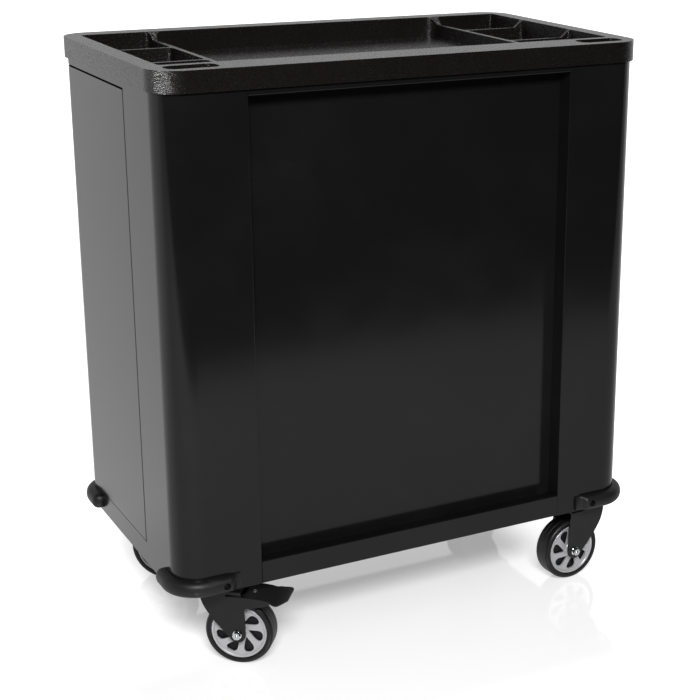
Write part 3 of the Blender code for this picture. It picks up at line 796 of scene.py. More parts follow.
def rails():
    """Back and front rails with rounded folds. The back ledge falls from a lip towards the panel."""
    radius = settings().fold_radius
    reach = RECESS_HALF - GAP
    coat = finish("gloss powder coat")
    lip = RECESS_LOW + RAIL_LIP
    ledge = [(HALF_D - RAIL_FLANGE, BASE_Z), (HALF_D, BASE_Z), (HALF_D, lip), (RECESS_Y, RECESS_LOW)]
    ceiling = [(RECESS_Y, RECESS_HIGH), (HALF_D, RECESS_HIGH), (HALF_D, SHELL_TOP_Z)]
    fold = -HALF_D + RAIL_FLANGE
    front_low = [(fold, OPENING_LOW), (-HALF_D, OPENING_LOW), (-HALF_D, BASE_Z)]
    front_high = [(-HALF_D, SHELL_TOP_Z), (-HALF_D, OPENING_HIGH), (fold, OPENING_HIGH)]
    mullion_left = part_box("bulkhead")[0].x
    spans = (
        ("back_bottom_rail", ledge, -reach, reach, "rear_bottom_rail"),
        ("back_top_rail", ceiling, -reach, reach, "rear_top_rail"),
        ("front_low_band", front_low, FRONT_POST_X + GAP, mullion_left - GAP, "front_bottom_rail"),
        ("front_high_band", front_high, FRONT_POST_X + GAP, mullion_left - GAP, "front_top_rail"),
    )
    for name, path, low, high, node in spans:
        made = prism(thicken(folded(path, radius), SHEET), low, high, "X")
        publish(name, made, coat, "cabinet", (node,))


def recoat():
    """Finishes of the flat pieces whose shape stays as it is."""
    coats = {
        "gloss powder coat": ("rear_panel", "base_pan", "bulkhead"),
        "satin powder coat": ("drawer_liner", "bay_shelf", "door_liner"),
        "zinc plate": ("runner_rack_left", "runner_rack_right", "hinge_bracket_top", "hinge_bracket_bottom"),
        "fork paint": tuple(f"caster_{name}_plate" for name in CASTERS),
    }
    for coat, nodes in coats.items():
        for node in nodes:
            for material_slot in frame["nodes"][node].material_slots:
                material_slot.material = finish(coat)


def body_screws():
    """Screws that hold the runner racks and the casters' plates."""
    low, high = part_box("runner_rack_left")
    face_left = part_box("drawer_liner")[1].x + 0.0018
    heights = [low.z + 0.012 + (high.z - low.z - 0.024) * i / 4 for i in range(5)]
    points = [(face_left + 0.0004, y, z) for z in heights for y in (low.y + 0.02, high.y - 0.02)]
    screws("rack_screws", points, (1, 0, 0), 0.0032, 0.0014, "cabinet", "zinc plate")
    under = []
    for name in CASTERS:
        low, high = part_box(f"caster_{name}_plate")
        for x in (low.x + 0.010, high.x - 0.010):
            for y in (low.y + 0.010, high.y - 0.010):
                under.append((x, y, high.z - 0.0025 - 0.0016))
    screws("plate_bolts", under, (0, 0, -1), 0.0055, 0.0032, "cabinet", "zinc plate")


# Tray


def pocket(low_x, low_y, high_x, high_y, floor, radius, draft=0.0012):
    """A cutter with rounded corners whose walls lean out a little towards the top."""
    top = TRAY_TOP_Z + 0.004
    made = prism(rounded_rectangle(low_x, low_y, high_x, high_y, radius, 6), floor, top)
    centre_x, centre_y = (low_x + high_x) / 2, (low_y + high_y) / 2
    half_x, half_y = (high_x - low_x) / 2, (high_y - low_y) / 2
    for vert in made.verts:
        if vert.co.z < TRAY_TOP_Z:
            vert.co.x = centre_x + (vert.co.x - centre_x) * (half_x - draft) / half_x
            vert.co.y = centre_y + (vert.co.y - centre_y) * (half_y - draft) / half_y
    return made


def tray_solid():
    """Tray without its pockets: rim, skirt, plug into the body, and the lowered middle."""
    inner = CORNER_RADIUS + GAP
    outline = rounded_rectangle(
        -TRAY_HALF_W, -TRAY_HALF_D, TRAY_HALF_W, TRAY_HALF_D, CORNER_RADIUS + TRAY_HALF_W - HALF_W, 20
    )
    under = rounded_rectangle(-HALF_W - GAP, -HALF_D - GAP, HALF_W + GAP, HALF_D + GAP, inner, 20)
    made = combined(prism(outline, SKIRT_Z, TRAY_TOP_Z), prism(under, SKIRT_Z - 0.02, SHELL_TOP_Z + GAP))
    half_x, front, rear = TRAY_PLUG
    plug = rounded_rectangle(-half_x, front, half_x, rear, 0.020)
    made = combined(made, prism(plug, TRAY_LOW.z, SHELL_TOP_Z + 0.002), "UNION")
    drop, ramp, lift = 0.012, 0.015, 0.0005
    lowered = prism(
        rounded_rectangle(-STRIP_OUTER, POCKET_FRONT, STRIP_OUTER, POCKET_REAR, 0.006),
        TRAY_TOP_Z - drop,
        TRAY_TOP_Z + lift,
    )
    middle, half_y = (POCKET_FRONT + POCKET_REAR) / 2, (POCKET_REAR - POCKET_FRONT) / 2
    for vert in lowered.verts:
        if vert.co.z < TRAY_TOP_Z:
            vert.co.x *= (STRIP_OUTER - ramp) / STRIP_OUTER
            vert.co.y = middle + (vert.co.y - middle) * (half_y - ramp) / half_y
    return combined(made, lowered)


def tray_pockets(made):
    """Cuts the basin, the pockets on both sides of it and the two slots."""
    floor = TRAY_TOP_Z - 0.032
    made = combined(made, pocket(-BASIN_HALF, POCKET_FRONT, BASIN_HALF, POCKET_REAR, floor, 0.014))
    half = 0.0025
    fronts = (POCKET_FRONT, DIVIDERS_Y[0] + half, DIVIDERS_Y[1] + half)
    rears = (DIVIDERS_Y[0] - half, DIVIDERS_Y[1] - half, POCKET_REAR)
    for side in (-1, 1):
        low_x, high_x = sorted((side * STRIP_INNER, side * STRIP_OUTER))
        for front, rear in zip(fronts, rears):
            made = combined(made, pocket(low_x, front, high_x, rear, floor, 0.007, 0.0006))
        low_x, high_x = sorted((side * SLOT[0], side * SLOT[2]))
        made = combined(made, pocket(low_x, SLOT[1], high_x, SLOT[3], SHELL_TOP_Z + 0.0045, 0.0125, 0.0006))
    return made


def on_outer_rim(vert):
    """True on the tray's outer wall."""
    corner_x = HALF_W - CORNER_RADIUS
    corner_y = HALF_D - CORNER_RADIUS
    beyond_x, beyond_y = max(abs(vert.co.x) - corner_x, 0), max(abs(vert.co.y) - corner_y, 0)
    radius = CORNER_RADIUS + TRAY_HALF_W - HALF_W
    return hypot(beyond_x, beyond_y) > radius - 0.0015 or (
        abs(vert.co.x) > TRAY_HALF_W - 0.001 or abs(vert.co.y) > TRAY_HALF_D - 0.001
    )


def tray():
    """Moulded tray with rounded rims, dividers, pockets and slots."""
    sizes = settings()
    made = tray_pockets(tray_solid())
    bmesh.ops.remove_doubles(made, verts=made.verts, dist=2e-5)
    bmesh.ops.dissolve_degenerate(made, edges=made.edges, dist=1e-5)
    weights = made.edges.layers.float.new("bevel_weight_edge")
    for edge in made.edges:
        if len(edge.link_faces) != 2 or edge.calc_face_angle(0.0) < radians(28):
            continue
        outer = all(on_outer_rim(vert) for vert in edge.verts)
        level = min(vert.co.z for vert in edge.verts)
        if outer and level > TRAY_TOP_Z - 0.001:
            edge[weights] = 1.0
        elif outer:
            edge[weights] = 0.3
        elif level > SHELL_TOP_Z + 0.001 or level > TRAY_LOW.z + 0.002:
            edge[weights] = sizes.pocket_radius / sizes.rim_radius
    plastic = finish("grained tray plastic")
    piece = publish("moulded_tray", made, plastic, "cabinet", ("top_tray",))
    rounded_edges(piece, sizes.rim_radius, 4, by_weight=True)


# Bumpers


BUMPER_LOW = BASE_Z + 0.002
BUMPER_HALF = 0.012
BUMPER_BULGE = 0.0137
BUMPER_TAB = 0.0045
BUMPER_REACH = 0.090
BUMPER_SHORT = 0.017
SCREW_IN = 0.025
SCREW_Z = BUMPER_LOW + BUMPER_HALF
SCREW_SEAT = 0.0046
SCREW_HOLE = 0.0052


def bumper_path():
    """Place, outward direction, thickness and share of the full height along one bumper, arm to arm."""
    inner_x, inner_y = HALF_W - CORNER_RADIUS, HALF_D - CORNER_RADIUS
    radius = CORNER_RADIUS + GAP
    dome = 0.011
    stations = []
    for along in (0.0001, 0.0004, 0.001, 0.002, 0.0035, 0.0055, 0.008, 0.011, 0.02, 0.032):
        left = max(1 - along / dome, 0.0)
        share = (1 - left * left) ** 0.5
        place = (HALF_W + GAP, HALF_D - BUMPER_REACH + BUMPER_SHORT + along)
        stations.append((place, (1, 0), BUMPER_BULGE * share, share**0.7))
    for x, y in arc(0, 0, 1, 0, 90, 22):
        stations.append(((inner_x + x * radius, inner_y + y * radius), (x, y), BUMPER_BULGE, 1.0))
    for along in (0.049, 0.030, 0.019, 0.016, 0.014, 0.0125, 0.011, 0.0095, 0.008, 0.004, 0.0006, 0.0):
        t = min(max((along - 0.007) / 0.010, 0.0), 1.0)
        bulge = BUMPER_TAB + (BUMPER_BULGE - BUMPER_TAB) * t * t * (3 - 2 * t)
        stations.append(((HALF_W - BUMPER_REACH + along, HALF_D + GAP), (0, 1), bulge, 1.0))
    return stations


def bumper_bar():
    """One bumper, at the corner where x and y are positive, domed on the side and screwed at the back."""
    made = bmesh.new()
    rings = []
    half = BUMPER_HALF
    for (x, y), (out_x, out_y), bulge, share in bumper_path():
        ring = []
        for i in range(17):
            a = radians(-90 + 180 * i / 16)
            out = bulge * max(cos(a), 0.0) ** 0.62
            z = BUMPER_LOW + half + half * share * sin(a)
            ring.append(made.verts.new((x + out_x * out, y + out_y * out, z)))
        rings.append(ring)
    for one, other in zip(rings, rings[1:]):
        for i in range(len(one)):
            j = (i + 1) % len(one)
            made.faces.new((one[i], one[j], other[j], other[i]))
    made.faces.new(rings[0])
    made.faces.new(rings[-1])
    bmesh.ops.recalc_face_normals(made, faces=made.faces)
    hole = prism(arc(0, 0, SCREW_HOLE, 0, 345, 23), SCREW_SEAT, 0.02)
    at = Matrix.Translation((HALF_W - BUMPER_REACH + SCREW_IN, HALF_D + GAP, SCREW_Z))
    return combined(made, moved(hole, at @ Matrix.Rotation(-pi / 2, 4, "X")))


def bumpers():
    """Four corner bumpers, each with its sunk screw."""
    rubber = finish("bumper rubber")
    corners = (("rear_right", 1, 1), ("rear_left", -1, 1), ("front_right", 1, -1), ("front_left", -1, -1))
    inset = BUMPER_REACH - SCREW_IN
    for side, label in ((-1, "front"), (1, "rear")):
        y = side * (HALF_D + SCREW_SEAT) + BODY_Y
        spots = [(other * (HALF_W - inset), y, SCREW_Z) for other in (-1, 1)]
        screws(f"bumper_screws_{label}", spots, (0, side, 0), settings().screw_radius, 0.0022, "cabinet")
    for corner, side_x, side_y in corners:
        mirror = Matrix.Diagonal((side_x, side_y, 1, 1))
        made = moved(bumper_bar(), mirror)
        bmesh.ops.recalc_face_normals(made, faces=made.faces)
        name = f"corner_bumper_{corner}"
        publish(name, made, rubber, "cabinet", (f"bumper_{corner}",), 50.0)


# Drawers


def drawer_box(number):
    """A drawer's front and its box, both with rounded edges, and the foam mat in it."""
    node = f"drawer_{number}"
    low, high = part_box(node)
    front_y = low.y
    coat = finish("gloss powder coat")
    edge = 0.0015
    front = block((low.x, front_y, low.z), (high.x, front_y + DRAWER_FRONT, high.z))
    centre = (low.x + high.x) / 2
    base = low.z + 0.006
    rim = high.z
    outer = block(
        (centre - DRAWER_BOX_HALF, front_y + DRAWER_FRONT + 0.0001, base),
        (centre + DRAWER_BOX_HALF, high.y, rim),
    )
    wall = 0.0015
    hollow = block(
        (centre - DRAWER_BOX_HALF + wall, front_y + DRAWER_FRONT - 0.004, base + wall),
        (centre + DRAWER_BOX_HALF - wall, high.y - wall, rim + 0.01),
    )
    shell = combined(outer, hollow)
    piece = publish(f"{node}_front", front, coat, node, (node,), place=IN_FRAME)
    rounded_edges(piece, edge, 3)
    box_piece = publish(
        f"{node}_box", shell, finish("satin powder coat"), node, place=IN_FRAME
    )
    rounded_edges(box_piece, 0.0004, 2)
    margin = 0.003
    mat = block(
        (centre - DRAWER_BOX_HALF + wall + margin, front_y + DRAWER_FRONT + margin, base + wall + 0.0002),
        (centre + DRAWER_BOX_HALF - wall - margin, high.y - wall - margin, base + wall + 0.0028),
    )
    rounded_edges(publish(f"{node}_mat", mat, finish("drawer mat foam"), node, place=IN_FRAME), 0.0008, 2)


def drawer_slides(number):
    """Moving slide members on both sides of a drawer, with their screws."""
    node = f"drawer_{number}"
    low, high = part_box(node)
    centre = (low.x + high.x) / 2
    middle = low.z + 0.026
    half = 0.0055
    wall = 0.0010
    spots = []
    members = []
    for side in (-1, 1):
        face = centre + side * (DRAWER_BOX_HALF + 0.0002)
        lip = face + side * 0.0050
        path = [(lip, middle - half), (face, middle - half), (face, middle + half), (lip, middle + half)]
        if side > 0:
            path = path[::-1]
        members.append(prism(thicken(folded(path, 0.0012, 3), wall), low.y + 0.02, high.y - 0.004, "Y"))
        for share in (0.12, 0.5, 0.88):
            spots.append((side, (face + side * 0.0016, low.y + (high.y - low.y) * share, middle)))
    piece = publish(f"{node}_slides", added(*members), finish("zinc plate"), node, place=IN_FRAME)
    for side, label in ((-1, "left"), (1, "right")):
        points = [spot for which, spot in spots if which == side]
        screws(f"{node}_slide_screws_{label}", points, (side, 0, 0), 0.0026, 0.0010, node, "zinc plate")


def drawer_pull(number):
    """Extruded grip strip with a rounded lip and moulded end caps."""
    node = f"drawer_{number}_pull"
    low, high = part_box(node)
    lip = low.y
    back = high.y
    wall = 0.0018
    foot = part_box(f"drawer_{number}")[0].y + 0.0005
    path = [(foot, low.z), (back, low.z), (back, high.z), (lip, high.z), (lip, high.z - 0.008)]
    outline = thicken(folded(path, 0.0022, 5), wall)
    cap = 0.002
    made = prism(outline, low.x + cap, high.x - cap, "X")
    publish(
        f"{node}_strip", made, finish("brushed pull"), f"drawer_{number}", (node,), 35.0, IN_FRAME
    )
    end = [(lip, high.z - 0.008), (lip, high.z), (back, high.z), (back, low.z), (foot, low.z)]
    end.append((foot, high.z - 0.008))
    thick = cap - 0.0001
    caps = added(*(prism(end, x, x + thick, "X") for x in (low.x, high.x - thick)))
    body = f"drawer_{number}"
    piece = publish(
        f"{node}_caps", caps, finish("pedal plastic"), body, place=IN_FRAME
    )
    rounded_edges(piece, 0.0007, 2)


def drawers():
    for number in DRAWERS:
        drawer_box(number)
        drawer_slides(number)
        drawer_pull(number)


# Door


def door():
    """Door skin folded round the corner, with a rolled hinge edge, and its liner's screws."""
    sizes = settings()
    low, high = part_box("door_skin")
    inner_x, inner_y, steps = HALF_W - CORNER_RADIUS, HALF_D - CORNER_RADIUS, sizes.corner_steps
    front = MULLION_RIGHT + SEAM + GAP
    support = 0.0008
    path = [(front, -HALF_D + RETURN_DEPTH), (front, -HALF_D), (inner_x - support, -HALF_D)]
    path += arc(inner_x, -inner_y, CORNER_RADIUS, 270, 360, steps) + [(HALF_W, -inner_y + support)]
    path += [(HALF_W, HINGE_Y - support)]
    path += arc(HINGE_X, HINGE_Y, HINGE_RADIUS, 0, 300, 24)
    made = prism(thicken(folded(path, sizes.fold_radius), SHEET), low.z, high.z)
    coat = finish("gloss powder coat")
    publish("door_outer_skin", made, coat, "door", ("door_skin",))
    liner_low, liner_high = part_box("door_liner")
    rows = [liner_low.z + (liner_high.z - liner_low.z) * share for share in (0.06, 0.35, 0.65, 0.94)]
    points = [
        (liner_low.x - 0.0004, y, z) for z in rows for y in (liner_low.y + 0.012, liner_high.y - 0.012)
    ]
    screws("liner_screws", points, (-1, 0, 0), 0.0032, 0.0014, "door", "zinc plate")


# Lock


def lock():
    """Round bezel and a barrel with a key slot."""
    low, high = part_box("lock_bezel")
    x, z, face = (low.x + high.x) / 2, (low.z + high.z) / 2, high.y
    place = Matrix.Translation((x, face, z)) @ Matrix.Rotation(pi / 2, 4, "X")
    radius = (high.x - low.x) / 2
    bore = 0.0063
    ring = [(bore, 0), (radius, 0), (radius, 0.0008), (radius - 0.0004, 0.0015), (radius - 0.0012, 0.0019)]
    ring += [(radius - 0.0022, 0.0020), (bore + 0.0004, 0.0020), (bore, 0.0016)]
    chrome = finish("bright chrome")
    publish(
        "lock_ring", turned(ring, 56), chrome, "cabinet", ("lock_bezel",), place=place
    )
    disc = prism(arc(0, 0, 0.0060, 0, 352.5, 47), 0, 0.0032)
    slot = block((-0.0006, -0.0040, 0.0018), (0.0006, 0.0040, 0.01))
    barrel = combined(disc, slot)
    piece = publish(
        "lock_cylinder", barrel, chrome, "lock", ("lock_barrel",), place=place
    )
    rounded_edges(piece, 0.0003, 2)


# Casters


def caster_frame(name):
    """Matrix from a caster's own axes (trailing, axle, up) to the frame, at the swivel axis on the floor."""
    swivel = Vector(joint(f"swivel_{name}_turn")["pos_m"])
    across = Vector(joint(f"wheel_{name}_spin")["axis"])
    along = Vector((across.y, -across.x, 0))
    turn_matrix = Matrix((along, across, Vector((0, 0, 1)))).transposed().to_4x4()
    return Matrix.Translation((swivel.x, swivel.y, 0)) @ turn_matrix


def fork(name, place):
    """Pressed fork with a flat crown, flared legs and a rounded end round the axle."""
    low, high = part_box(f"caster_{name}_fork")
    top = high.z
    axle = (TRAIL, WHEEL_RADIUS)
    outline = [(-0.0275, top - 0.001), (0.0345, top - 0.001), (0.0372, 0.1035), (0.0393, 0.094)]
    outline += [(0.0398, 0.075)] + arc(*axle, LEG_RADIUS, 0, -139, 14) + [(-0.0063, 0.0712)]
    outline += [(-0.0108, 0.0772), (-0.0152, 0.0838), (-0.0192, 0.0902), (-0.0226, 0.0968)]
    outline += [(-0.0247, 0.1028), (-0.0262, 0.109)]
    made = None
    for side in (-1, 1):
        legs = sorted((side * (FORK_HALF - LEG_SHEET), side * FORK_HALF))
        leg = prism(outline, *legs, "Y")
        made = leg if made is None else combined(made, leg, "UNION")
    crown = prism(rounded_rectangle(-0.0275, -FORK_HALF, 0.0345, FORK_HALF, 0.003, 4), top - 0.003, top)
    made = combined(made, crown, "UNION")
    body, nodes = f"swivel_{name}", (f"caster_{name}_fork",)
    piece = publish(f"fork_{name}", made, finish("fork paint"), body, nodes, 35.0, place)
    rounded_edges(piece, 0.0006, 2)


def wheel(name, place):
    """Tyre, silver hub with its swirl of openings, a dark disc inside it as painted shade behind the
    openings, and axle bolt.
    """
    body = f"wheel_{name}"
    axle = place @ Matrix.Translation((TRAIL, 0, WHEEL_RADIUS)) @ Matrix.Rotation(-pi / 2, 4, "X")
    seat, half, wide = HUB_RADIUS + 0.0002, TYRE_HALF, WHEEL_RADIUS
    side = [(seat, half - 0.0016), (seat + 0.0008, half - 0.0004), (seat + 0.002, half)]
    side += [(wide - 0.0052, half)]
    side += arc(wide - 0.0052, half - 0.0052, 0.0052, 82, 8, 7)
    groove = wide - 0.0004
    side += [(wide, half - 0.0062), (wide, 0.0055), (groove, 0.0052), (groove, 0.0042), (wide, 0.0039)]
    profile = side + [(radius, -height) for radius, height in side[::-1]]
    rubber = finish("tyre rubber")
    publish(f"tyre_{name}", turned(profile, 72), rubber, body, (f"caster_{name}_tyre",), 35.0, axle)

    rim = [(0.0372, 0.0), (0.0372, HUB_HALF - 0.0026), (0.0384, HUB_HALF - 0.0004), (0.0392, HUB_HALF)]
    rim += [(HUB_RADIUS - 0.0006, HUB_HALF), (HUB_RADIUS, HUB_HALF - 0.0006)]
    rim += [(radius, -height) for radius, height in rim[:0:-1]]
    boss = [(0.0045, HUB_HALF - 0.001), (0.0098, HUB_HALF - 0.001), (0.0110, HUB_HALF - 0.0022)]
    boss += [(radius, -height) for radius, height in boss[::-1]]
    silver = added(turned(rim, 72), turned(boss, 40))
    values = {
        "Radius": 0.0374,
        "Bore": 0.0085,
        "Openings": settings().hub_openings,
        "Tip radius": 0.0125,
        "End radius": 0.0356,
        "Width": 0.0124,
        "Swirl": 0.0054,
        "Depth": 0.0025,
        "Material": finish("silver hub"),
    }
    for flip in (0.0, pi):
        disc = cooked(hub_recipe(), [(0, 0, 0)], values)
        level = HUB_HALF - 0.0026 - 0.0025
        phase = Matrix.Rotation(OPENING_TURN, 4, "Z")
        disc.transform(Matrix.Rotation(flip, 4, "X") @ Matrix.Translation((0, 0, level)) @ phase)
        silver.from_mesh(disc)
        bpy.data.meshes.remove(disc)
    hub_nodes = (f"caster_{name}_hub",)
    publish(f"hub_{name}", silver, finish("silver hub"), body, hub_nodes, 35.0, axle)
    # A near-black disc inside the hub: painted shade seen through the openings.
    shade_disc = [(0.0087, 0.0066), (0.0370, 0.0066), (0.0370, -0.0066), (0.0087, -0.0066)]
    publish(f"hub_core_{name}", turned(shade_disc, 48), finish("hub shadow plastic"), body, place=axle)
    axle_bolt(name, axle)


def axle_bolt(name, axle):
    """Domed flange bolt through both legs, with a nut on the far side."""
    grip = FORK_HALF + 0.0003
    shaft = turned([(0.0, -grip), (0.0040, -grip), (0.0040, grip), (0.0, grip)], 24)
    parts = [shaft]
    for flip in (0.0, pi):
        flange = [(0.0, 0.0), (0.0070, 0.0), (0.0070, 0.0012), (0.0062, 0.0021), (0.0, 0.0023)]
        hexagon = prism(arc(0, 0, 0.0061, 0, 300, 5), 0.0018, 0.0062)
        dome = [(0.0, 0.0060)] + [(radius, height) for radius, height in arc(0, 0.0045, 0.0030, 80, 20, 6)]
        dome += [(0.0030, 0.0050), (0.0, 0.0050)]
        up = Matrix.Rotation(flip, 4, "X") @ Matrix.Translation((0, 0, grip))
        parts += [moved(turned(flange, 32), up), moved(hexagon, up), moved(turned(dome, 24), up)]
    made = added(*parts)
    nodes = (f"caster_{name}_axle",)
    piece = publish(
        f"axle_bolt_{name}", made, finish("bright chrome"), f"swivel_{name}", nodes, 30.0, axle
    )
    rounded_edges(piece, 0.0003, 2)


def kingpin(name, place):
    """Race ring and rivet under the crown."""
    low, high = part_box(f"caster_{name}_plate")
    top = low.z
    dish = [(0.008, top + 0.0001), (0.0235, top + 0.0001), (0.0255, top + 0.0012), (0.0262, top + 0.003)]
    dish += [(0.0262, top + 0.0060), (0.0245, top + 0.0082), (0.008, top + 0.0082)]
    publish(f"race_{name}", turned(dish, 56), finish("zinc plate"), "cabinet", place=place)
    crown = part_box(f"caster_{name}_fork")[1].z - 0.003
    rivet = [(0.0, crown), (0.0065, crown), (0.0062, crown - 0.0018), (0.0048, crown - 0.0030)]
    rivet.append((0.0, crown - 0.0036))
    publish(f"kingpin_{name}", turned(rivet, 32), finish("zinc plate"), f"swivel_{name}", place=place)


def pedal_sheet(pivot_x, pivot_z):
    """Cap over the tyre with bent-down cheeks outside the legs, widening into a rounded pad."""
    path = [(0.0, -0.0015), (0.018, -0.0013), (0.030, -0.0026), (0.039, -0.0045), (0.049, -0.0060)]
    path += [(0.057, -0.0054), (0.0645, -0.0040)]
    path = [(pivot_x + along, pivot_z + up) for along, up in path]
    sheet = prism(thicken(path, PEDAL_SHEET), -PAD_HALF, PAD_HALF, "Y")
    outer = CHEEK_INNER + PEDAL_SHEET
    plan = [(0.036, -outer + 0.0004), (0.076, -outer + 0.0004), (0.0795, -0.0282), (0.0835, -0.0305)]
    plan += arc(0.0880, -0.0255, 0.0055, 262, 300, 4) + arc(0.0965, -0.0125, 0.0060, 318, 360, 4)
    plan += arc(0.0915, 0.0195, 0.0110, 0, 85, 9) + [(0.0880, 0.0308), (0.0820, 0.0296)]
    plan += [(0.0760, outer - 0.0004), (0.036, outer - 0.0004)]
    made = combined(sheet, prism(plan, pivot_z - 0.03, pivot_z + 0.02), "INTERSECT")
    cheek = [(-0.026, 0.0020), (0.0, 0.0014), (0.018, 0.0009), (0.030, -0.0004), (0.0385, -0.0022)]
    cheek += [(0.0400, -0.0046)]
    cheek += [(0.0390, -0.0078), (0.0330, -0.0102), (0.0200, -0.0131), (0.0100, -0.0152), (0.0015, -0.0168)]
    cheek += [(-0.008, -0.0165), (-0.0165, -0.0118), (-0.0235, -0.0050)]
    outline = [(pivot_x + along, pivot_z + up) for along, up in cheek]
    for side in (-1, 1):
        walls = sorted((side * CHEEK_INNER, side * outer))
        made = combined(made, prism(outline, *walls, "Y"), "UNION")
    return made


def pedal(name, place):
    """Brake lever and the rivet through its cap."""
    pivot = Vector(joint(f"pedal_{name}_press")["pos_m"])
    local = place.inverted() @ pivot
    body = f"pedal_{name}"
    made = pedal_sheet(local.x, local.z)
    nodes = (f"caster_{name}_pedal",)
    lever = publish(
        f"brake_{body}", made, finish("pedal plastic"), body, nodes, 35.0, place
    )
    rounded_edges(lever, 0.0006, 2)
    head = [(0.0, 0.0), (0.0033, 0.0), (0.0031, 0.0009), (0.0021, 0.0016), (0.0, 0.0019)]
    at = place @ Matrix.Translation((local.x + 0.0118, 0.0, local.z + 0.0004))
    publish(f"{body}_rivet", turned(head, 24), finish("zinc plate"), body, place=at)


def casters():
    for name in CASTERS:
        place = caster_frame(name)
        fork(name, place)
        wheel(name, place)
        kingpin(name, place)
        if name in BRAKED:
            pedal(name, place)


# Stage


CAMERA_POSITION = (1.0314, 2.1567, 1.1687)
CAMERA_AZIMUTH = 150.434
CAMERA_ELEVATION = 17.597
CAMERA_ROLL = 0.625
CAMERA_SHIFT = (-0.1567, -0.0239)
FLOOR_FRONT = 1.47  # the floor ends here, so the upper back face shows the dim side of the room
FLOOR_LIFT = 0.30
TRAY_CORNER = (0.37, 0.2, 0.86)
AHEAD_LEVEL = 0.005
ABOVE_LEVEL = 0.045


def floor(glow):
    """Pale floor that glows faintly under the object and is plain white to the camera further out."""
    made = Finish("pale floor", (0.8, 0.8, 0.8), 0.06, IOR=2.2)
    across = made.math("ABSOLUTE", made.part(made.position, "X"))
    depth = made.part(made.position, "Y")
    beside = made.ease(across, 0.35, 0.46)
    behind = made.ease(0 - depth, 0.20, 0.45)
    ahead = made.ease(depth, -0.02, 0.22)
    away = 1 - made.ease(depth, 0.06, 0.20)
    further = made.larger(made.ease(across, 0.52, 0.70), made.ease(depth, 0.40, 0.54))
    further = made.larger(further, made.ease(across, 0.26, 0.36) * away)
    out = made.larger(made.larger(beside, behind), ahead)
    seen = made.add("ShaderNodeLightPath", {}, {}, "Is Camera Ray")
    level = glow * (1 - ahead * 0.45) + behind * 0.18
    made.set("Emission Color", level + seen * (out * FLOOR_LIFT + further * 0.45))
    made.set("Emission Strength", 1.0)
    slab = prism([(-9, -14), (9, -14), (9, FLOOR_FRONT), (-9, FLOOR_FRONT)], -0.02, 0.0)
    mesh = bpy.data.meshes.new("floor")
    slab.to_mesh(mesh)
    slab.free()
    mesh.materials.append(made.material)
    item = bpy.data.objects.new("floor", mesh)
    bpy.context.collection.objects.link(item)


def soft_light(name, position, target, width, height, power, only=None):
    """An area light, which can be kept to one piece."""
    data = bpy.data.lights.new(name, "AREA")
    data.shape = "RECTANGLE"
    data.size = width
    data.size_y = height
    data.energy = power
    item = bpy.data.objects.new(name, data)
    bpy.context.collection.objects.link(item)
    item.visible_camera = False
    if only:
        lit = bpy.data.collections.new(f"lit by {name}")
        lit.objects.link(bpy.data.objects[only])
        item.light_linking.receiver_collection = lit
    item.location = position
    item.rotation_euler = (Vector(target) - Vector(position)).to_track_quat("-Z", "Y").to_euler()


def surroundings(behind, ahead, above):
    """White to the camera; for light, bright behind the object, dim on the camera's side."""
    world = bpy.data.worlds.new("studio")
    bpy.context.scene.world = world
    world.use_nodes = True
    made = Nodes(world.node_tree)
    direction = made.add("ShaderNodeTexCoord", {}, {}, "Generated")
    level = made.ease(made.part(direction, "Y"), -0.25, 0.35, behind, ahead)
    level = made.ease(made.part(direction, "Z"), 0.45, 0.85, level, above)
    seen = made.add("ShaderNodeLightPath", {}, {}, "Is Camera Ray")
    level = made.add("ShaderNodeMix", {}, {"Factor": seen, "A": level, "B": 1.0}, "Result")
    background = world.node_tree.nodes["Background"]
    made.feed((1.0, 1.0, 1.0, 1.0), background.inputs["Color"])
    made.feed(level, background.inputs["Strength"])


def camera(lens):
    data = bpy.data.cameras.new("camera")
    data.lens = lens
    data.sensor_width = 36.0
    data.shift_x, data.shift_y = CAMERA_SHIFT
    data.clip_end = 100
    item = bpy.data.objects.new("camera", data)
    bpy.context.collection.objects.link(item)
    azimuth, elevation = radians(CAMERA_AZIMUTH), radians(CAMERA_ELEVATION)
    back = Vector((sin(azimuth) * cos(elevation), -cos(azimuth) * cos(elevation), sin(elevation)))
    right = Vector((cos(azimuth), sin(azimuth), 0))
    up = back.cross(right)
    roll = radians(CAMERA_ROLL)
    right, up = cos(roll) * right + sin(roll) * up, cos(roll) * up - sin(roll) * right
    turn_matrix = Matrix((right, up, back)).transposed().to_4x4()
    at = Vector(CAMERA_POSITION) + Vector((0, BODY_Y, 0))
    item.matrix_world = Matrix.Translation(at) @ turn_matrix
    bpy.context.scene.camera = item


def stage():
    """Pale floor, soft lights, surroundings and the camera."""
    studio = bpy.context.scene.cabinet_studio
    bpy.context.scene.view_settings.view_transform = "Standard"
    floor(studio.floor_glow)
    surroundings(studio.backdrop, AHEAD_LEVEL, ABOVE_LEVEL)
    camera(studio.lens)
    soft_light("front softbox", (1.3, 3.1, 2.7), (0.1, 0.2, 0.05), 1.2, 0.8, studio.front_power)
    soft_light(
        "overhead strip", (-1.3, 0.8, 3.1), (0, 0, 0.8), 0.3, 2.0, studio.strip_power, "moulded_tray"
    )
    soft_light(
        "corner strip one", (1.30, 0.85, 0.52), TRAY_CORNER, 0.07, 0.14, studio.corner_power, "moulded_tray"
    )
    soft_light(
        "corner strip two", (1.48, 0.35, 0.52), TRAY_CORNER, 0.07, 0.14, studio.corner_power, "moulded_tray"
    )


# The add-on


class CABINET_OT_shell(bpy.types.Operator):
    """Build the side sheets with their rounded posts"""

    bl_idname = "cabinet.build_shell"
    bl_label = "Build shell"

    def execute(self, context):
        body_shell()
        return {"FINISHED"}


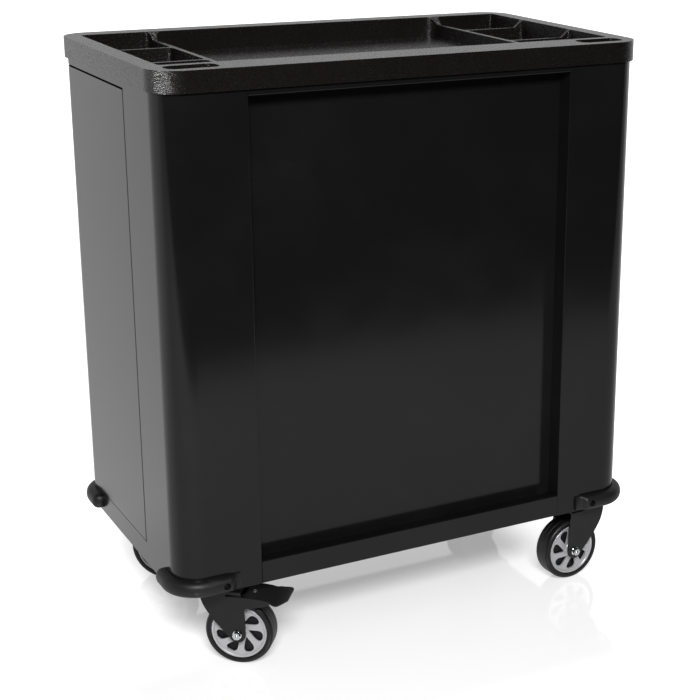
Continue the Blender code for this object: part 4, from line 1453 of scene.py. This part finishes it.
class CABINET_OT_rails(bpy.types.Operator):
    """Build the rails, flat pieces and body screws"""

    bl_idname = "cabinet.build_rails"
    bl_label = "Build rails"

    def execute(self, context):
        rails()
        recoat()
        body_screws()
        return {"FINISHED"}


class CABINET_OT_tray(bpy.types.Operator):
    """Build the moulded tray on top"""

    bl_idname = "cabinet.build_tray"
    bl_label = "Build tray"

    def execute(self, context):
        tray()
        return {"FINISHED"}


class CABINET_OT_bumpers(bpy.types.Operator):
    """Build the corner bumpers and their screws"""

    bl_idname = "cabinet.build_bumpers"
    bl_label = "Build bumpers"

    def execute(self, context):
        bumpers()
        return {"FINISHED"}


class CABINET_OT_drawers(bpy.types.Operator):
    """Build the drawers with their slides and pulls"""

    bl_idname = "cabinet.build_drawers"
    bl_label = "Build drawers"

    def execute(self, context):
        drawers()
        return {"FINISHED"}


class CABINET_OT_door(bpy.types.Operator):
    """Build the side door"""

    bl_idname = "cabinet.build_door"
    bl_label = "Build door"

    def execute(self, context):
        door()
        return {"FINISHED"}


class CABINET_OT_lock(bpy.types.Operator):
    """Build the lock on the front post"""

    bl_idname = "cabinet.build_lock"
    bl_label = "Build lock"

    def execute(self, context):
        lock()
        return {"FINISHED"}


class CABINET_OT_casters(bpy.types.Operator):
    """Build the forks, wheels and brake pedals"""

    bl_idname = "cabinet.build_casters"
    bl_label = "Build casters"

    def execute(self, context):
        casters()
        return {"FINISHED"}


class CABINET_OT_stage(bpy.types.Operator):
    """Build the floor, lights and camera"""

    bl_idname = "cabinet.build_stage"
    bl_label = "Build stage"

    def execute(self, context):
        stage()
        return {"FINISHED"}


OPERATORS = (
    CABINET_OT_shell,
    CABINET_OT_rails,
    CABINET_OT_tray,
    CABINET_OT_bumpers,
    CABINET_OT_drawers,
    CABINET_OT_door,
    CABINET_OT_lock,
    CABINET_OT_casters,
    CABINET_OT_stage,
)


class CABINET_PT_panel(bpy.types.Panel):
    bl_label = "Tool Cabinet"
    bl_idname = "CABINET_PT_panel"
    bl_space_type = "VIEW_3D"
    bl_region_type = "UI"
    bl_category = "Tool Cabinet"

    def draw(self, context):
        scene = context.scene
        for group in (scene.cabinet_sizes, scene.cabinet_colours, scene.cabinet_studio):
            for name in group.bl_rna.properties.keys():
                if name not in {"rna_type", "name"}:
                    self.layout.prop(group, name)
        for item in OPERATORS:
            self.layout.operator(item.bl_idname)


CLASSES = (CabinetSizes, CabinetColours, CabinetStudio, *OPERATORS, CABINET_PT_panel)


def register():
    for item in CLASSES:
        bpy.utils.register_class(item)
    bpy.types.Scene.cabinet_sizes = PointerProperty(type=CabinetSizes)
    bpy.types.Scene.cabinet_colours = PointerProperty(type=CabinetColours)
    bpy.types.Scene.cabinet_studio = PointerProperty(type=CabinetStudio)


def unregister():
    del bpy.types.Scene.cabinet_studio
    del bpy.types.Scene.cabinet_colours
    del bpy.types.Scene.cabinet_sizes
    for item in reversed(CLASSES):
        bpy.utils.unregister_class(item)


def main():
    register()
    bpy.ops.cabinet.build_shell()
    bpy.ops.cabinet.build_rails()
    bpy.ops.cabinet.build_tray()
    bpy.ops.cabinet.build_bumpers()
    bpy.ops.cabinet.build_drawers()
    bpy.ops.cabinet.build_door()
    bpy.ops.cabinet.build_lock()
    bpy.ops.cabinet.build_casters()
    bpy.ops.cabinet.build_stage()


if __name__ == "__main__":
    main()
